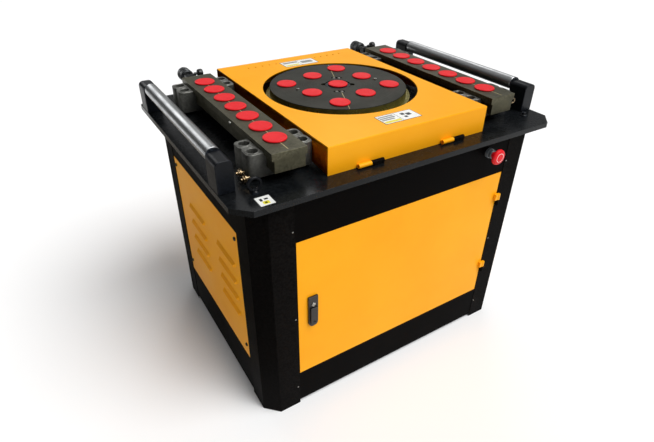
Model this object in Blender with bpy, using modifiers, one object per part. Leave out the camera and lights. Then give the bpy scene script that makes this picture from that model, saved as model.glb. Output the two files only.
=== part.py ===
"""Rebar bending bench: steel cabinet, turntable with drive train, two socket bars and two rollers.

Metres, +Z up.  X runs along the front (door) side, -Y is the front.  Every piece is placed in
bench coordinates, whose zero is the middle of the table on the floor.  The empty bench_centre
carries them all, and moves that zero so that the whole bench is centred on the world's origin.
"""
import math

import bmesh
import bpy
from mathutils import Matrix, Vector

# --- clearances -------------------------------------------------------------------------------
GAP = 0.0003                 # left between two pieces that touch
RUN = 0.0005                 # radial play of a turning or sliding fit

# --- table ------------------------------------------------------------------------------------
TABLE_W = 1.000
TABLE_D = 0.768
TABLE_TOP = 0.736
TABLE_T = 0.015
TABLE_CHAMFER = 0.040

# --- cabinet ----------------------------------------------------------------------------------
CABINET_W = 0.906
CABINET_D = 0.7032
CABINET_CHAMFER = 0.038
FRAME_WALL = 0.004
FOOT_H = 0.012
POST_FLANGE = 0.060
TRAY_T = 0.004
DOOR_W = 0.695
DOOR_H = 0.462
DOOR_Z = 0.131
SHEET = 0.002
PANEL_RETURN = 0.016
SIDE_PANEL_W = 0.489
SIDE_PANEL_H = 0.444
SIDE_PANEL_Z = 0.150
REAR_PANEL_W = 0.690
LOUVRE_W = 0.130
LOUVRE_H = 0.016
LOUVRE_PROUD = 0.007
LOUVRE_PITCH = 0.058
LOUVRE_TOP_Z = 0.482
LOUVRE_ROWS = 4
LOUVRE_Y = (-0.148, 0.077)

# --- door hinges and lock ---------------------------------------------------------------------
DOOR_HINGE_R = 0.005
DOOR_HINGE_L = 0.040
DOOR_HINGE_Z = (0.236, 0.4985)
DOOR_HINGE_OUT = 0.006
LOCK_W = 0.029
LOCK_H = 0.1045
LOCK_T = 0.006
LOCK_X = -0.305
LOCK_TOP_Z = 0.4085
PADDLE_W = 0.021
PADDLE_L = 0.062
PADDLE_T = 0.005
PADDLE_DROP = 0.036

# --- emergency stop ---------------------------------------------------------------------------
STOP_X = 0.271
STOP_Z = 0.6755
STOP_COLLAR_R = 0.0145
STOP_COLLAR_L = 0.018
STOP_STEM_R = 0.0080
STOP_HEAD_R = 0.0225
STOP_HEAD_T = 0.012
STOP_REACH = 0.043

# --- turntable --------------------------------------------------------------------------------
DISC_Y = 0.015
DISC_R = 0.200
DISC_PROUD = 0.0734
DISC_RIM = 0.022
DISC_STEP_R = 0.185
DISC_T = 0.0384
DISC_TURN = 14.4
SOCKET_R = 0.025
SOCKET_GRID = 0.1066
RING_R = 0.212
RING_T = 0.008

# --- plugs ------------------------------------------------------------------------------------
PLUG_R = 0.0285
PLUG_CAP = 0.004
PLUG_SHORT = 0.0005          # how far a plug stops above its socket's lower mouth
SOCKET_SIDES = 12            # of a plug and of the socket that it fills

# --- cover ------------------------------------------------------------------------------------
COVER_W = 0.5008
COVER_FRONT = -0.333
COVER_BACK = 0.337
COVER_H = 0.0733
COVER_HOLE_R = 0.2247
COVER_HOLE_Y = 0.003
FLAP_FRONT = -0.117
FLAP_BACK = 0.115
FLAP_DEPTH = 0.0155
COVER_HINGE_R = 0.0060
COVER_HINGE_PIN_R = 0.0025
COVER_HINGE_Z = 0.0068
COVER_HINGE_OUT = 0.0070
COVER_HINGE_X = (-0.132, 0.133)
KNUCKLE_L = 0.037

# --- socket bars and cross blocks -------------------------------------------------------------
BAR_X = 0.335
BAR_W = 0.0892
BAR_STEM_W = 0.078
BAR_HEAD_T = 0.019
SHOULDER_RISE = 0.001
BAR_BOTTOM = 0.0305
BAR_TOP = 0.079
BAR_FRONT = -0.313
BAR_BACK = 0.285
BAR_SOCKETS = 7
BAR_PITCH = 0.0753
BAR_FIRST = -0.240
BAR_TRAVEL = 0.015
BLOCK_Y = 0.230
BLOCK_TOP = 0.067
BLOCK_BOTTOM = 0.0075
BLOCK_PIN_X = 0.063
BLOCK_PIN_Y = 0.0225
BLOCK_PIN_R = 0.0145
BLOCK_LOBE_R = 0.0210
BLOCK_PAD_R = 0.020
BLOCK_PAD_X = 0.026

# --- feed screws ------------------------------------------------------------------------------
SCREW_R = 0.008
SCREW_Z = 0.0500
SCREW_TIP = 0.0225           # length engaged in the bar
SCREW_BORE = 0.040
LUG_Y = 0.335
LUG_T = 0.020
LUG_W = 0.032
LUG_H = 0.064
KNOB_R = 0.021
KNOB_Y = 0.374
KNOB_L = 0.056

# --- rollers ----------------------------------------------------------------------------------
ROLLER_X = TABLE_W / 2 - 0.0215
ROLLER_Z = 0.0665
ROLLER_R = 0.019
ROLLER_FRONT = -0.2306
ROLLER_BACK = 0.2622
AXLE_R = 0.006
AXLE_L = 0.010
BRACKET_W = 0.041
BRACKET_L = 0.058
BRACKET_H = 0.078
BRACKET_CORNER = 0.013

# --- lifting eye ------------------------------------------------------------------------------
EYE_X = -0.425
EYE_Y = -0.315
EYE_R = 0.015
EYE_WIRE_R = 0.0036
EYE_FOOT_R = 0.009
EYE_FOOT_H = 0.005

# --- drive train ------------------------------------------------------------------------------
GEAR_MODULE = 0.004
GEAR_TEETH = 64
PINION_TEETH = 16
GEAR_T = 0.030
GEAR_Z = 0.655               # middle plane of the gear pair
BACKLASH = 0.0006
PRESSURE_ANGLE = 20.0
SHAFT_R = 0.042
SHAFT_FLANGE_R = 0.070
SHAFT_FLANGE_T = 0.012
SHAFT_FOOT_R = 0.030
PINION_SHAFT_R = 0.014
CASE_WALL = 0.010
CASE_BOTTOM = 0.600
CASE_PLAY = 0.004
PULLEY_Z = 0.470
PULLEY_T = 0.024
DRIVEN_PITCH_R = 0.095
MOTOR_PITCH_R = 0.038
BELT_W = 0.010
BELT_DEPTH = 0.009
PULLEY_LIP = 0.003
GROOVE_ROOM = 0.0015
MOTOR_X = -0.150
MOTOR_R = 0.095
MOTOR_FOOT_R = 0.118
MOTOR_FOOT_T = 0.014
MOTOR_TOP = 0.430
MOTOR_SHAFT_R = 0.012

# --- worked out from the values above ---------------------------------------------------------
CABINET_TOP = TABLE_TOP - TABLE_T - GAP
FRONT = -CABINET_D / 2
STOP_FRONT = FRONT - STOP_REACH
KNOB_BACK = KNOB_Y + KNOB_L
MID_Y = (STOP_FRONT + KNOB_BACK) / 2
CENTRE_DISTANCE = GEAR_MODULE * (GEAR_TEETH + PINION_TEETH) / 2
PINION_X = CENTRE_DISTANCE
DISC_TOP = TABLE_TOP + DISC_PROUD
DISC_BOTTOM = DISC_TOP - DISC_T
BAR_TOP_Z = TABLE_TOP + BAR_TOP


# --- helpers ----------------------------------------------------------------------------------
def clear_scene():
    """Remove every object, so the bench is alone in the file."""
    for item in list(bpy.data.objects):
        bpy.data.objects.remove(item, do_unlink=True)


def make_material(name, colour, roughness, metallic):
    """A plain Principled material."""
    made = bpy.data.materials.new(name)
    made.use_nodes = True
    shader = made.node_tree.nodes["Principled BSDF"]
    shader.inputs["Base Color"].default_value = (*colour, 1.0)
    shader.inputs["Roughness"].default_value = roughness
    shader.inputs["Metallic"].default_value = metallic
    made.diffuse_color = (*colour, 1.0)
    return made


def new_object(name, mesh, finish, collection):
    """Link a mesh under a name, with its finish."""
    made = bpy.data.objects.new(name, mesh)
    if finish is not None:
        mesh.materials.append(finish)
    collection.objects.link(made)
    return made


def box_mesh(name, low, high):
    """An axis-aligned box between two corners."""
    mesh = bpy.data.meshes.new(name)
    shape = bmesh.new()
    size = Vector(high) - Vector(low)
    middle = (Vector(high) + Vector(low)) / 2
    bmesh.ops.create_cube(shape, size=1.0, matrix=Matrix.LocRotScale(middle, None, size))
    shape.to_mesh(mesh)
    shape.free()
    return mesh


def rods_mesh(name, radius, length, places, axis="Z", sides=20):
    """Equal cylinders in one mesh, each centred on a place and lying along one axis."""
    turn = {"X": Matrix.Rotation(math.pi / 2, 4, "Y"), "Y": Matrix.Rotation(math.pi / 2, 4, "X"),
            "Z": Matrix.Identity(4)}[axis]
    mesh = bpy.data.meshes.new(name)
    shape = bmesh.new()
    for place in places:
        bmesh.ops.create_cone(shape, cap_ends=True, segments=sides, radius1=radius, radius2=radius,
                              depth=length, matrix=Matrix.Translation(place) @ turn)
    shape.to_mesh(mesh)
    shape.free()
    return mesh


def plate_mesh(name, outlines, thickness):
    """A flat plate about z = 0 from a 2D curve: the first outline, less the others as holes."""
    curve = bpy.data.curves.new(name + "_outline", "CURVE")
    curve.dimensions = "2D"
    curve.fill_mode = "BOTH"
    curve.extrude = thickness / 2
    for outline in outlines:
        spline = curve.splines.new("POLY")
        spline.points.add(len(outline) - 1)
        for point, (x, y) in zip(spline.points, outline):
            point.co = (x, y, 0, 1)
        spline.use_cyclic_u = True
    holder = bpy.data.objects.new(name + "_outline", curve)
    bpy.context.scene.collection.objects.link(holder)
    evaluated = holder.evaluated_get(bpy.context.evaluated_depsgraph_get())
    mesh = bpy.data.meshes.new_from_object(evaluated)
    mesh.name = name
    shape = bmesh.new()
    shape.from_mesh(mesh)
    bmesh.ops.remove_doubles(shape, verts=shape.verts, dist=0.00001)
    shape.to_mesh(mesh)
    shape.free()
    bpy.data.objects.remove(holder, do_unlink=True)
    return mesh


def turned_object(name, profile, finish, collection, sides=32):
    """A turned piece about its own Z axis: (radius, height) points from the top down."""
    mesh = bpy.data.meshes.new(name)
    shape = bmesh.new()
    closed = profile[0] == profile[-1]
    points = [shape.verts.new((radius, 0, height)) for radius, height in profile[:-1 if closed else None]]
    if closed:
        points.append(points[0])
    for first, second in zip(points, points[1:]):
        shape.edges.new((first, second))
    shape.to_mesh(mesh)
    shape.free()
    made = new_object(name, mesh, finish, collection)
    screw = made.modifiers.new("turn", "SCREW")
    screw.steps = sides
    screw.render_steps = sides
    screw.use_merge_vertices = True
    screw.merge_threshold = 0.00001
    screw.use_smooth_shade = False
    return made


def arc(centre, radius, start, end, steps):
    """Points on an arc, in degrees, both ends included."""
    angles = [math.radians(start + (end - start) * i / steps) for i in range(steps + 1)]
    return [(centre[0] + radius * math.cos(a), centre[1] + radius * math.sin(a)) for a in angles]


def circle(centre, radius, steps):
    """A closed ring of points."""
    return arc(centre, radius, 0, 360 * (steps - 1) / steps, steps - 1)


def cut_corner_outline(width, depth, corner):
    """A rectangle about zero with four corners cut at 45 degrees."""
    x = width / 2
    y = depth / 2
    return [(x - corner, -y), (x, corner - y), (x, y - corner), (x - corner, y),
            (corner - x, y), (-x, y - corner), (-x, corner - y), (corner - x, -y)]


def hull_of_circles(near, near_radius, far, far_radius, steps):
    """The outline round two circles on one line parallel to X, near being the left one."""
    lean = math.degrees(math.acos((near_radius - far_radius) / (far[0] - near[0])))
    return arc(near, near_radius, lean, 360 - lean, steps) + arc(far, far_radius, -lean, lean, steps // 2)


class Bench:
    """Holds the two collections and the finishes, and makes, cuts and joins pieces."""

    def __init__(self):
        scene = bpy.context.scene.collection
        self.parts = bpy.data.collections.new("rebar_bender")
        self.cutters = bpy.data.collections.new("cutters")
        scene.children.link(self.parts)
        scene.children.link(self.cutters)
        self.root = bpy.data.objects.new("bench_centre", None)
        self.root.location = (0, -MID_Y, 0)
        self.parts.objects.link(self.root)
        self.yellow = make_material("yellow_enamel", (0.95, 0.42, 0.02), 0.35, 0.0)
        self.black = make_material("black_enamel", (0.012, 0.012, 0.013), 0.40, 0.0)
        self.dark = make_material("blackened_steel", (0.070, 0.065, 0.045), 0.42, 0.7)
        self.cast = make_material("cast_steel", (0.090, 0.088, 0.082), 0.50, 0.8)
        self.bright = make_material("bright_steel", (0.60, 0.61, 0.62), 0.22, 1.0)
        self.red = make_material("red_plastic", (0.80, 0.03, 0.04), 0.38, 0.0)
        self.plastic = make_material("black_plastic", (0.015, 0.015, 0.016), 0.45, 0.0)
        self.rubber = make_material("belt_rubber", (0.020, 0.020, 0.020), 0.80, 0.0)
        self.grey = make_material("grey_enamel", (0.18, 0.20, 0.22), 0.45, 0.0)

    def piece(self, name, mesh, finish, place=(0, 0, 0), turn=(0, 0, 0)):
        """A finished piece from a mesh."""
        made = new_object(name, mesh, finish, self.parts)
        made.location = place
        made.rotation_euler = turn
        return made

    def turned(self, name, profile, finish, place, turn=(0, 0, 0), sides=32):
        """A turned piece at a place; turn lays its axis along X or Y."""
        made = turned_object(name, profile, finish, self.parts, sides)
        made.location = place
        made.rotation_euler = turn
        return made

    def combine(self, target, mesh, operation, place=(0, 0, 0), turn=(0, 0, 0)):
        """Cut a mesh from a piece, or weld it on; the mesh stays in bench coordinates."""
        tool = new_object(mesh.name, mesh, None, self.cutters)
        tool.location = place
        tool.rotation_euler = turn
        tool.hide_render = True
        tool.display_type = "WIRE"
        step = target.modifiers.new(mesh.name, "BOOLEAN")
        step.operation = operation
        step.solver = "EXACT"
        step.object = tool

    def cut(self, target, mesh, place=(0, 0, 0), turn=(0, 0, 0)):
        """Take a mesh away from a piece."""
        self.combine(target, mesh, "DIFFERENCE", place, turn)

    def weld(self, target, mesh, place=(0, 0, 0), turn=(0, 0, 0)):
        """Add a mesh to a piece."""
        self.combine(target, mesh, "UNION", place, turn)

    def settle(self):
        """Hang every piece and cutter on the empty that centres the bench."""
        for group in (self.parts, self.cutters):
            for item in group.objects:
                if item is not self.root and item.parent is None:
                    item.parent = self.root


# --- table and cabinet ------------------------------------------------------------------------
def build_table(bench):
    """Thick plate with cut corners, the shaft's hole, and a welded lug behind each socket bar."""
    outline = cut_corner_outline(TABLE_W, TABLE_D, TABLE_CHAMFER)
    hole = circle((0, DISC_Y), SHAFT_R + CASE_PLAY, 32)
    middle = TABLE_TOP - TABLE_T / 2
    table = bench.piece("table_plate", plate_mesh("table_plate", [outline, hole], TABLE_T),
                        bench.black, (0, 0, middle))
    for side, x in (("left", -BAR_X), ("right", BAR_X)):
        lug = box_mesh(side + "_lug", (x - LUG_W / 2, LUG_Y, TABLE_TOP - TABLE_T / 2),
                       (x + LUG_W / 2, LUG_Y + LUG_T, TABLE_TOP + LUG_H))
        bench.weld(table, lug)
    bores = [(x, LUG_Y + LUG_T / 2, TABLE_TOP + SCREW_Z) for x in (-BAR_X, BAR_X)]
    bench.cut(table, rods_mesh("lug_bores", SCREW_R + RUN, LUG_T * 1.5, bores, "Y"))


def build_frame(bench):
    """Cabinet frame of folded posts and rails: one wall with openings for the door and panels."""
    outer = cut_corner_outline(CABINET_W, CABINET_D, CABINET_CHAMFER)
    slant = FRAME_WALL * (2 - math.sqrt(2))
    inner = cut_corner_outline(CABINET_W - 2 * FRAME_WALL, CABINET_D - 2 * FRAME_WALL,
                               CABINET_CHAMFER - slant)
    frame = bench.piece("cabinet_frame", plate_mesh("cabinet_frame", [outer, inner], CABINET_TOP),
                        bench.black, (0, 0, CABINET_TOP / 2))
    x = CABINET_W / 2
    y = CABINET_D / 2
    deep = 2 * FRAME_WALL
    door = box_mesh("door_opening", (-DOOR_W / 2 - GAP, -y - deep, DOOR_Z - GAP),
                    (DOOR_W / 2 + GAP, -y + deep, DOOR_Z + DOOR_H + GAP))
    rear = box_mesh("rear_opening", (-REAR_PANEL_W / 2 - GAP, y - deep, SIDE_PANEL_Z - GAP),
                    (REAR_PANEL_W / 2 + GAP, y + deep, SIDE_PANEL_Z + SIDE_PANEL_H + GAP))
    sides = box_mesh("side_openings", (-x - deep, -SIDE_PANEL_W / 2 - GAP, SIDE_PANEL_Z - GAP),
                     (x + deep, SIDE_PANEL_W / 2 + GAP, SIDE_PANEL_Z + SIDE_PANEL_H + GAP))
    inset = CABINET_CHAMFER + POST_FLANGE
    under_front = box_mesh("toe_space_x", (-x + inset, -y - deep, -deep), (x - inset, y + deep, FOOT_H))
    under_side = box_mesh("toe_space_y", (-x - deep, -y + inset, -deep), (x + deep, y - inset, FOOT_H))
    for opening in (door, rear, sides, under_front, under_side):
        bench.cut(frame, opening)
    for index, z in enumerate(DOOR_HINGE_Z):
        knuckle_place = (DOOR_W / 2 + DOOR_HINGE_R, FRONT - DOOR_HINGE_OUT, z - DOOR_HINGE_L / 4 - GAP / 2)
        knuckle = rods_mesh(f"frame_knuckle_{index}", DOOR_HINGE_R, DOOR_HINGE_L / 2 - GAP,
                            [knuckle_place], "Z", 12)
        leaf = box_mesh(f"frame_hinge_leaf_{index}",
                        (knuckle_place[0], FRONT - DOOR_HINGE_OUT - DOOR_HINGE_R * 0.6,
                         z - DOOR_HINGE_L / 2),
                        (knuckle_place[0] + DOOR_HINGE_R * 2, FRONT + FRAME_WALL / 2, z - GAP))
        bench.weld(frame, knuckle)
        bench.weld(frame, leaf)


def build_tray(bench):
    """Floor sheet that carries the motor."""
    inset = 2 * (FRAME_WALL + GAP)
    outline = cut_corner_outline(CABINET_W - inset, CABINET_D - inset, CABINET_CHAMFER)
    bench.piece("base_tray", plate_mesh("base_tray", [outline], TRAY_T), bench.black,
                (0, 0, FOOT_H + GAP + TRAY_T / 2))


def build_door(bench):
    """Door: a tray of folded sheet with two half hinges, its origin on the hinge axis."""
    axis_x = DOOR_W / 2 + DOOR_HINGE_R
    axis_y = FRONT - DOOR_HINGE_OUT
    low = (-DOOR_W / 2 - axis_x, FRONT - axis_y, DOOR_Z)
    high = (DOOR_W / 2 - axis_x, FRONT - axis_y + PANEL_RETURN, DOOR_Z + DOOR_H)
    door = bench.piece("door_panel", box_mesh("door_panel", low, high), bench.yellow, (axis_x, axis_y, 0))
    hollow = box_mesh("door_hollow", (low[0] + SHEET, low[1] + SHEET, low[2] + SHEET),
                      (high[0] - SHEET, high[1] + SHEET, high[2] - SHEET))
    bench.cut(door, hollow, (axis_x, axis_y, 0))
    for index, z in enumerate(DOOR_HINGE_Z):
        knuckle = rods_mesh(f"door_knuckle_{index}", DOOR_HINGE_R, DOOR_HINGE_L / 2 - GAP,
                            [(axis_x, axis_y, z + DOOR_HINGE_L / 4 + GAP / 2)], "Z", 12)
        proud = axis_y - DOOR_HINGE_R * 0.6
        leaf = box_mesh(f"door_hinge_leaf_{index}", (axis_x - 3 * DOOR_HINGE_R, proud, z + GAP),
                        (axis_x, FRONT - GAP, z + DOOR_HINGE_L / 2))
        seat = box_mesh(f"door_hinge_seat_{index}", (axis_x - 2.8 * DOOR_HINGE_R, proud + GAP, z + 2 * GAP),
                        (axis_x - 1.4 * DOOR_HINGE_R, FRONT + SHEET / 2, z + DOOR_HINGE_L / 2 - GAP))
        for mesh in (knuckle, leaf, seat):
            bench.weld(door, mesh)


def build_lock(bench):
    """Door lock: a housing plate with a round lower end, and the lifting paddle on it."""
    radius = LOCK_W / 2
    straight = LOCK_H - radius
    outline = [(radius, straight), (-radius, straight)] + arc((0, 0), radius, 180, 360, 12)
    middle_y = FRONT - GAP - LOCK_T / 2
    bench.piece("door_lock_housing", plate_mesh("door_lock_housing", [outline], LOCK_T), bench.plastic,
                (LOCK_X, middle_y, LOCK_TOP_Z - straight), (math.pi / 2, 0, 0))
    radius = PADDLE_W / 2
    drop = PADDLE_L - radius
    outline = [(radius, 0), (-radius, 0)] + arc((0, -drop), radius, 180, 360, 12)
    middle_y -= LOCK_T / 2 + GAP + PADDLE_T / 2
    bench.piece("door_lock_paddle", plate_mesh("door_lock_paddle", [outline], PADDLE_T), bench.plastic,
                (LOCK_X, middle_y, LOCK_TOP_Z - PADDLE_DROP), (math.pi / 2, 0, 0))


def build_side_panels(bench):
    """Left and right panels with pressed louvres, and the plain rear panel."""
    for side, sign in (("left", -1), ("right", 1)):
        face = sign * CABINET_W / 2
        back = face - sign * SHEET
        panel = bench.piece(side + "_louvre_panel", box_mesh(
            side + "_louvre_panel", (min(face, back), -SIDE_PANEL_W / 2, SIDE_PANEL_Z),
            (max(face, back), SIDE_PANEL_W / 2, SIDE_PANEL_Z + SIDE_PANEL_H)), bench.yellow)
        for column, y in enumerate(LOUVRE_Y):
            for row in range(LOUVRE_ROWS):
                bench.weld(panel, louvre_mesh(f"{side}_louvre_{column}_{row}"),
                           (face - sign * SHEET / 2, y, LOUVRE_TOP_Z - row * LOUVRE_PITCH),
                           (0, 0, 0 if sign > 0 else math.pi))
    y = CABINET_D / 2
    bench.piece("rear_panel", box_mesh("rear_panel", (-REAR_PANEL_W / 2, y - SHEET, SIDE_PANEL_Z),
                                       (REAR_PANEL_W / 2, y, SIDE_PANEL_Z + SIDE_PANEL_H)), bench.yellow)


def louvre_mesh(name):
    """A hood that leans out from the panel: a cone frustum of four sides, flat on its lower side."""
    mesh = bpy.data.meshes.new(name)
    shape = bmesh.new()
    bmesh.ops.create_cube(shape, size=1.0, matrix=Matrix.LocRotScale(
        Vector((LOUVRE_PROUD / 2, 0, -LOUVRE_H / 2)), None,
        Vector((LOUVRE_PROUD + SHEET, LOUVRE_W, LOUVRE_H))))
    for corner in shape.verts:
        if corner.co.x > 0 and corner.co.z > -LOUVRE_H / 2:
            corner.co.z -= LOUVRE_H * 0.7
        if corner.co.x > 0:
            corner.co.y -= math.copysign(LOUVRE_H / 2, corner.co.y)
    shape.to_mesh(mesh)
    shape.free()
    return mesh


def build_stop(bench):
    """Emergency stop: a collar on the header and the mushroom button that is pressed in."""
    facing = (math.pi / 2, 0, 0)
    collar = [(STOP_STEM_R + RUN, 0), (STOP_STEM_R + RUN, STOP_COLLAR_L),
              (STOP_COLLAR_R, STOP_COLLAR_L), (STOP_COLLAR_R, 0), (STOP_STEM_R + RUN, 0)]
    bench.turned("estop_collar", collar, bench.grey, (STOP_X, FRONT - GAP, STOP_Z), facing, 20)
    stem_end = STOP_COLLAR_L / 2
    back = STOP_REACH - STOP_HEAD_T
    head = [(0, STOP_REACH), (STOP_HEAD_R * 0.6, STOP_REACH), (STOP_HEAD_R, STOP_REACH - STOP_HEAD_T / 2),
            (STOP_HEAD_R, back), (STOP_STEM_R, back), (STOP_STEM_R, stem_end), (0, stem_end)]
    bench.turned("estop_button", head, bench.red, (STOP_X, FRONT, STOP_Z), facing, 24)


# --- turntable and cover ----------------------------------------------------------------------
def disc_sockets():
    """Centres of the nine sockets: a square grid turned about the disc's axis."""
    turn = Matrix.Rotation(math.radians(DISC_TURN), 2)
    places = []
    for column in (-1, 0, 1):
        for row in (-1, 0, 1):
            spot = turn @ Vector((column * SOCKET_GRID, row * SOCKET_GRID))
            places.append((spot.x, spot.y))
    return places


def build_disc(bench):
    """Turntable with nine through sockets, and the angle ring round its lower step."""
    low = DISC_BOTTOM
    step = DISC_TOP - DISC_RIM
    edge = 0.0015
    profile = [(0, DISC_TOP), (DISC_R - edge, DISC_TOP), (DISC_R, DISC_TOP - edge), (DISC_R, step),
               (DISC_STEP_R, step), (DISC_STEP_R, low), (0, low)]
    disc = bench.turned("turntable_disc", profile, bench.dark, (0, DISC_Y, 0), sides=48)
    holes = [(x, DISC_Y + y, DISC_TOP - DISC_T / 2) for x, y in disc_sockets()]
    bench.cut(disc, rods_mesh("disc_sockets", SOCKET_R, DISC_T * 1.5, holes, sides=SOCKET_SIDES))
    top = step - GAP
    bore = DISC_STEP_R + GAP
    ring = [(bore, top - RING_T), (bore, top), (RING_R, top), (RING_R, top - RING_T), (bore, top - RING_T)]
    bench.turned("angle_ring", ring, bench.dark, (0, DISC_Y, 0), sides=48)


def plug_profile(depth):
    """A plug for a socket of some depth, from its crown down, zero being the surface it lies on."""
    shank = SOCKET_R - GAP
    end = PLUG_SHORT - depth
    return [(0, PLUG_CAP), (PLUG_R, PLUG_CAP), (PLUG_R, GAP), (shank, GAP), (shank, end), (0, end)]


def build_plugs(bench):
    """One plug in each socket of the disc and of both bars."""
    for index, (x, y) in enumerate(disc_sockets()):
        bench.turned(f"disc_plug_{index + 1}", plug_profile(DISC_T), bench.red,
                     (x, DISC_Y + y, DISC_TOP), sides=SOCKET_SIDES)
    for side, x in (("left", -BAR_X), ("right", BAR_X)):
        for index in range(BAR_SOCKETS):
            bench.turned(f"{side}_bar_plug_{index + 1}", plug_profile(BAR_TOP - BAR_BOTTOM), bench.red,
                         (x, BAR_FIRST + index * BAR_PITCH, BAR_TOP_Z), sides=SOCKET_SIDES)


def build_cover(bench):
    """Folded sheet cover with its round hole, its origin on the hinge axis."""
    axis = (0, COVER_FRONT - COVER_HINGE_OUT, TABLE_TOP + COVER_HINGE_Z)
    x = COVER_W / 2
    top = TABLE_TOP + COVER_H
    low = (-x, COVER_FRONT - axis[1], TABLE_TOP + GAP - axis[2])
    high = (x, COVER_BACK - axis[1], top - axis[2])
    cover = bench.piece("cover_sheet", box_mesh("cover_sheet", low, high), bench.yellow, axis)
    under = top - SHEET
    deep = TABLE_TOP - 0.01
    wide = x + 0.01
    front = COVER_FRONT + SHEET
    back = COVER_BACK - SHEET
    hollow = box_mesh("cover_hollow", (-x + SHEET, front, deep), (x - SHEET, back, under))
    sides_front = box_mesh("cover_side_front", (-wide, front, deep), (wide, FLAP_FRONT, under))
    sides_back = box_mesh("cover_side_back", (-wide, FLAP_BACK, deep), (wide, back, under))
    sides_low = box_mesh("cover_side_low", (-wide, FLAP_FRONT - SHEET, deep),
                         (wide, FLAP_BACK + SHEET, top - FLAP_DEPTH))
    hole = rods_mesh("cover_hole", COVER_HOLE_R, 0.02, [(0, COVER_HOLE_Y, top)], "Z", 64)
    for cutter in (hollow, sides_front, sides_back, sides_low, hole):
        bench.cut(cover, cutter)
    for index, seam in enumerate(COVER_HINGE_X):
        centre = seam - KNUCKLE_L / 2 - GAP / 2
        knuckle = rods_mesh(f"cover_knuckle_{index}", COVER_HINGE_R, KNUCKLE_L - GAP,
                            [(centre, axis[1], axis[2])], "X", 16)
        leaf = box_mesh(f"cover_leaf_{index}",
                        (centre - KNUCKLE_L / 2 + GAP, axis[1], axis[2] - COVER_HINGE_R * 0.5),
                        (centre + KNUCKLE_L / 2 - GAP, COVER_FRONT + SHEET / 2, axis[2] + COVER_HINGE_R * 0.5))
        bench.weld(cover, leaf)
        bench.weld(cover, knuckle)
        bore = rods_mesh(f"cover_knuckle_bore_{index}", COVER_HINGE_PIN_R + GAP, KNUCKLE_L * 1.2,
                         [(centre, axis[1], axis[2])], "X", 12)
        bench.cut(cover, bore)


def build_cover_hinges(bench):
    """The hinge halves on the table: a knuckle on a foot, with the pin that enters the cover's knuckle."""
    y = COVER_FRONT - COVER_HINGE_OUT
    z = TABLE_TOP + COVER_HINGE_Z
    for side, seam in zip(("left", "right"), COVER_HINGE_X):
        centre = seam + KNUCKLE_L / 2 + GAP / 2
        half = KNUCKLE_L / 2
        profile = [(0, half - GAP), (COVER_HINGE_R, half - GAP), (COVER_HINGE_R, -half + GAP),
                   (COVER_HINGE_PIN_R, -half + GAP), (COVER_HINGE_PIN_R, -half - KNUCKLE_L * 0.9),
                   (0, -half - KNUCKLE_L * 0.9)]
        hinge = bench.turned(side + "_cover_hinge", profile, bench.black, (centre, y, z),
                             (0, math.pi / 2, 0), 16)
        foot = box_mesh(side + "_hinge_foot", (centre - half * 0.9, y - COVER_HINGE_R, TABLE_TOP + GAP),
                        (centre + half * 0.9, y + COVER_HINGE_R * 0.6, z - COVER_HINGE_R * 0.4))
        bench.weld(hinge, foot)


# --- bars, blocks, screws, rollers ------------------------------------------------------------
def tee_outline(head, stem, top, shoulder, bottom):
    """A T section about x = 0, seen along its length; the shoulders rise a little outwards."""
    outer = shoulder + SHOULDER_RISE
    return [(stem / 2, bottom), (stem / 2, shoulder), (head / 2, outer), (head / 2, top),
            (-head / 2, top), (-head / 2, outer), (-stem / 2, shoulder), (-stem / 2, bottom)]


def build_bars(bench):
    """Two socket bars of T section, seven through sockets each, with a nut bore behind."""
    lying = (math.pi / 2, 0, 0)
    length = BAR_BACK - BAR_FRONT
    outline = tee_outline(BAR_W, BAR_STEM_W, BAR_TOP, BAR_TOP - BAR_HEAD_T, BAR_BOTTOM)
    for side, x in (("left", -BAR_X), ("right", BAR_X)):
        place = (x, (BAR_FRONT + BAR_BACK) / 2, TABLE_TOP)
        bar = bench.piece(side + "_socket_bar", plate_mesh(side + "_socket_bar", [outline], length),
                          bench.dark, place, lying)
        middle_z = TABLE_TOP + (BAR_TOP + BAR_BOTTOM) / 2
        spots = [(x, BAR_FIRST + i * BAR_PITCH, middle_z) for i in range(BAR_SOCKETS)]
        bench.cut(bar, rods_mesh(side + "_bar_sockets", SOCKET_R, 2 * (BAR_TOP - BAR_BOTTOM), spots,
                                 sides=SOCKET_SIDES))
        nut = [(x, BAR_BACK, TABLE_TOP + SCREW_Z)]
        bench.cut(bar, rods_mesh(side + "_nut_bore", SCREW_R + RUN, 2 * SCREW_BORE, nut, "Y", 16))


def block_outline():
    """Plan of a cross block: two round lobes at each end, a pin socket in each lobe."""
    points = []
    for x, y, start in ((1, -1, -90), (1, 1, -60), (-1, 1, 90), (-1, -1, 120)):
        points += arc((x * BLOCK_PIN_X, y * BLOCK_PIN_Y), BLOCK_LOBE_R, start, start + 150, 4)
    return points


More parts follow.
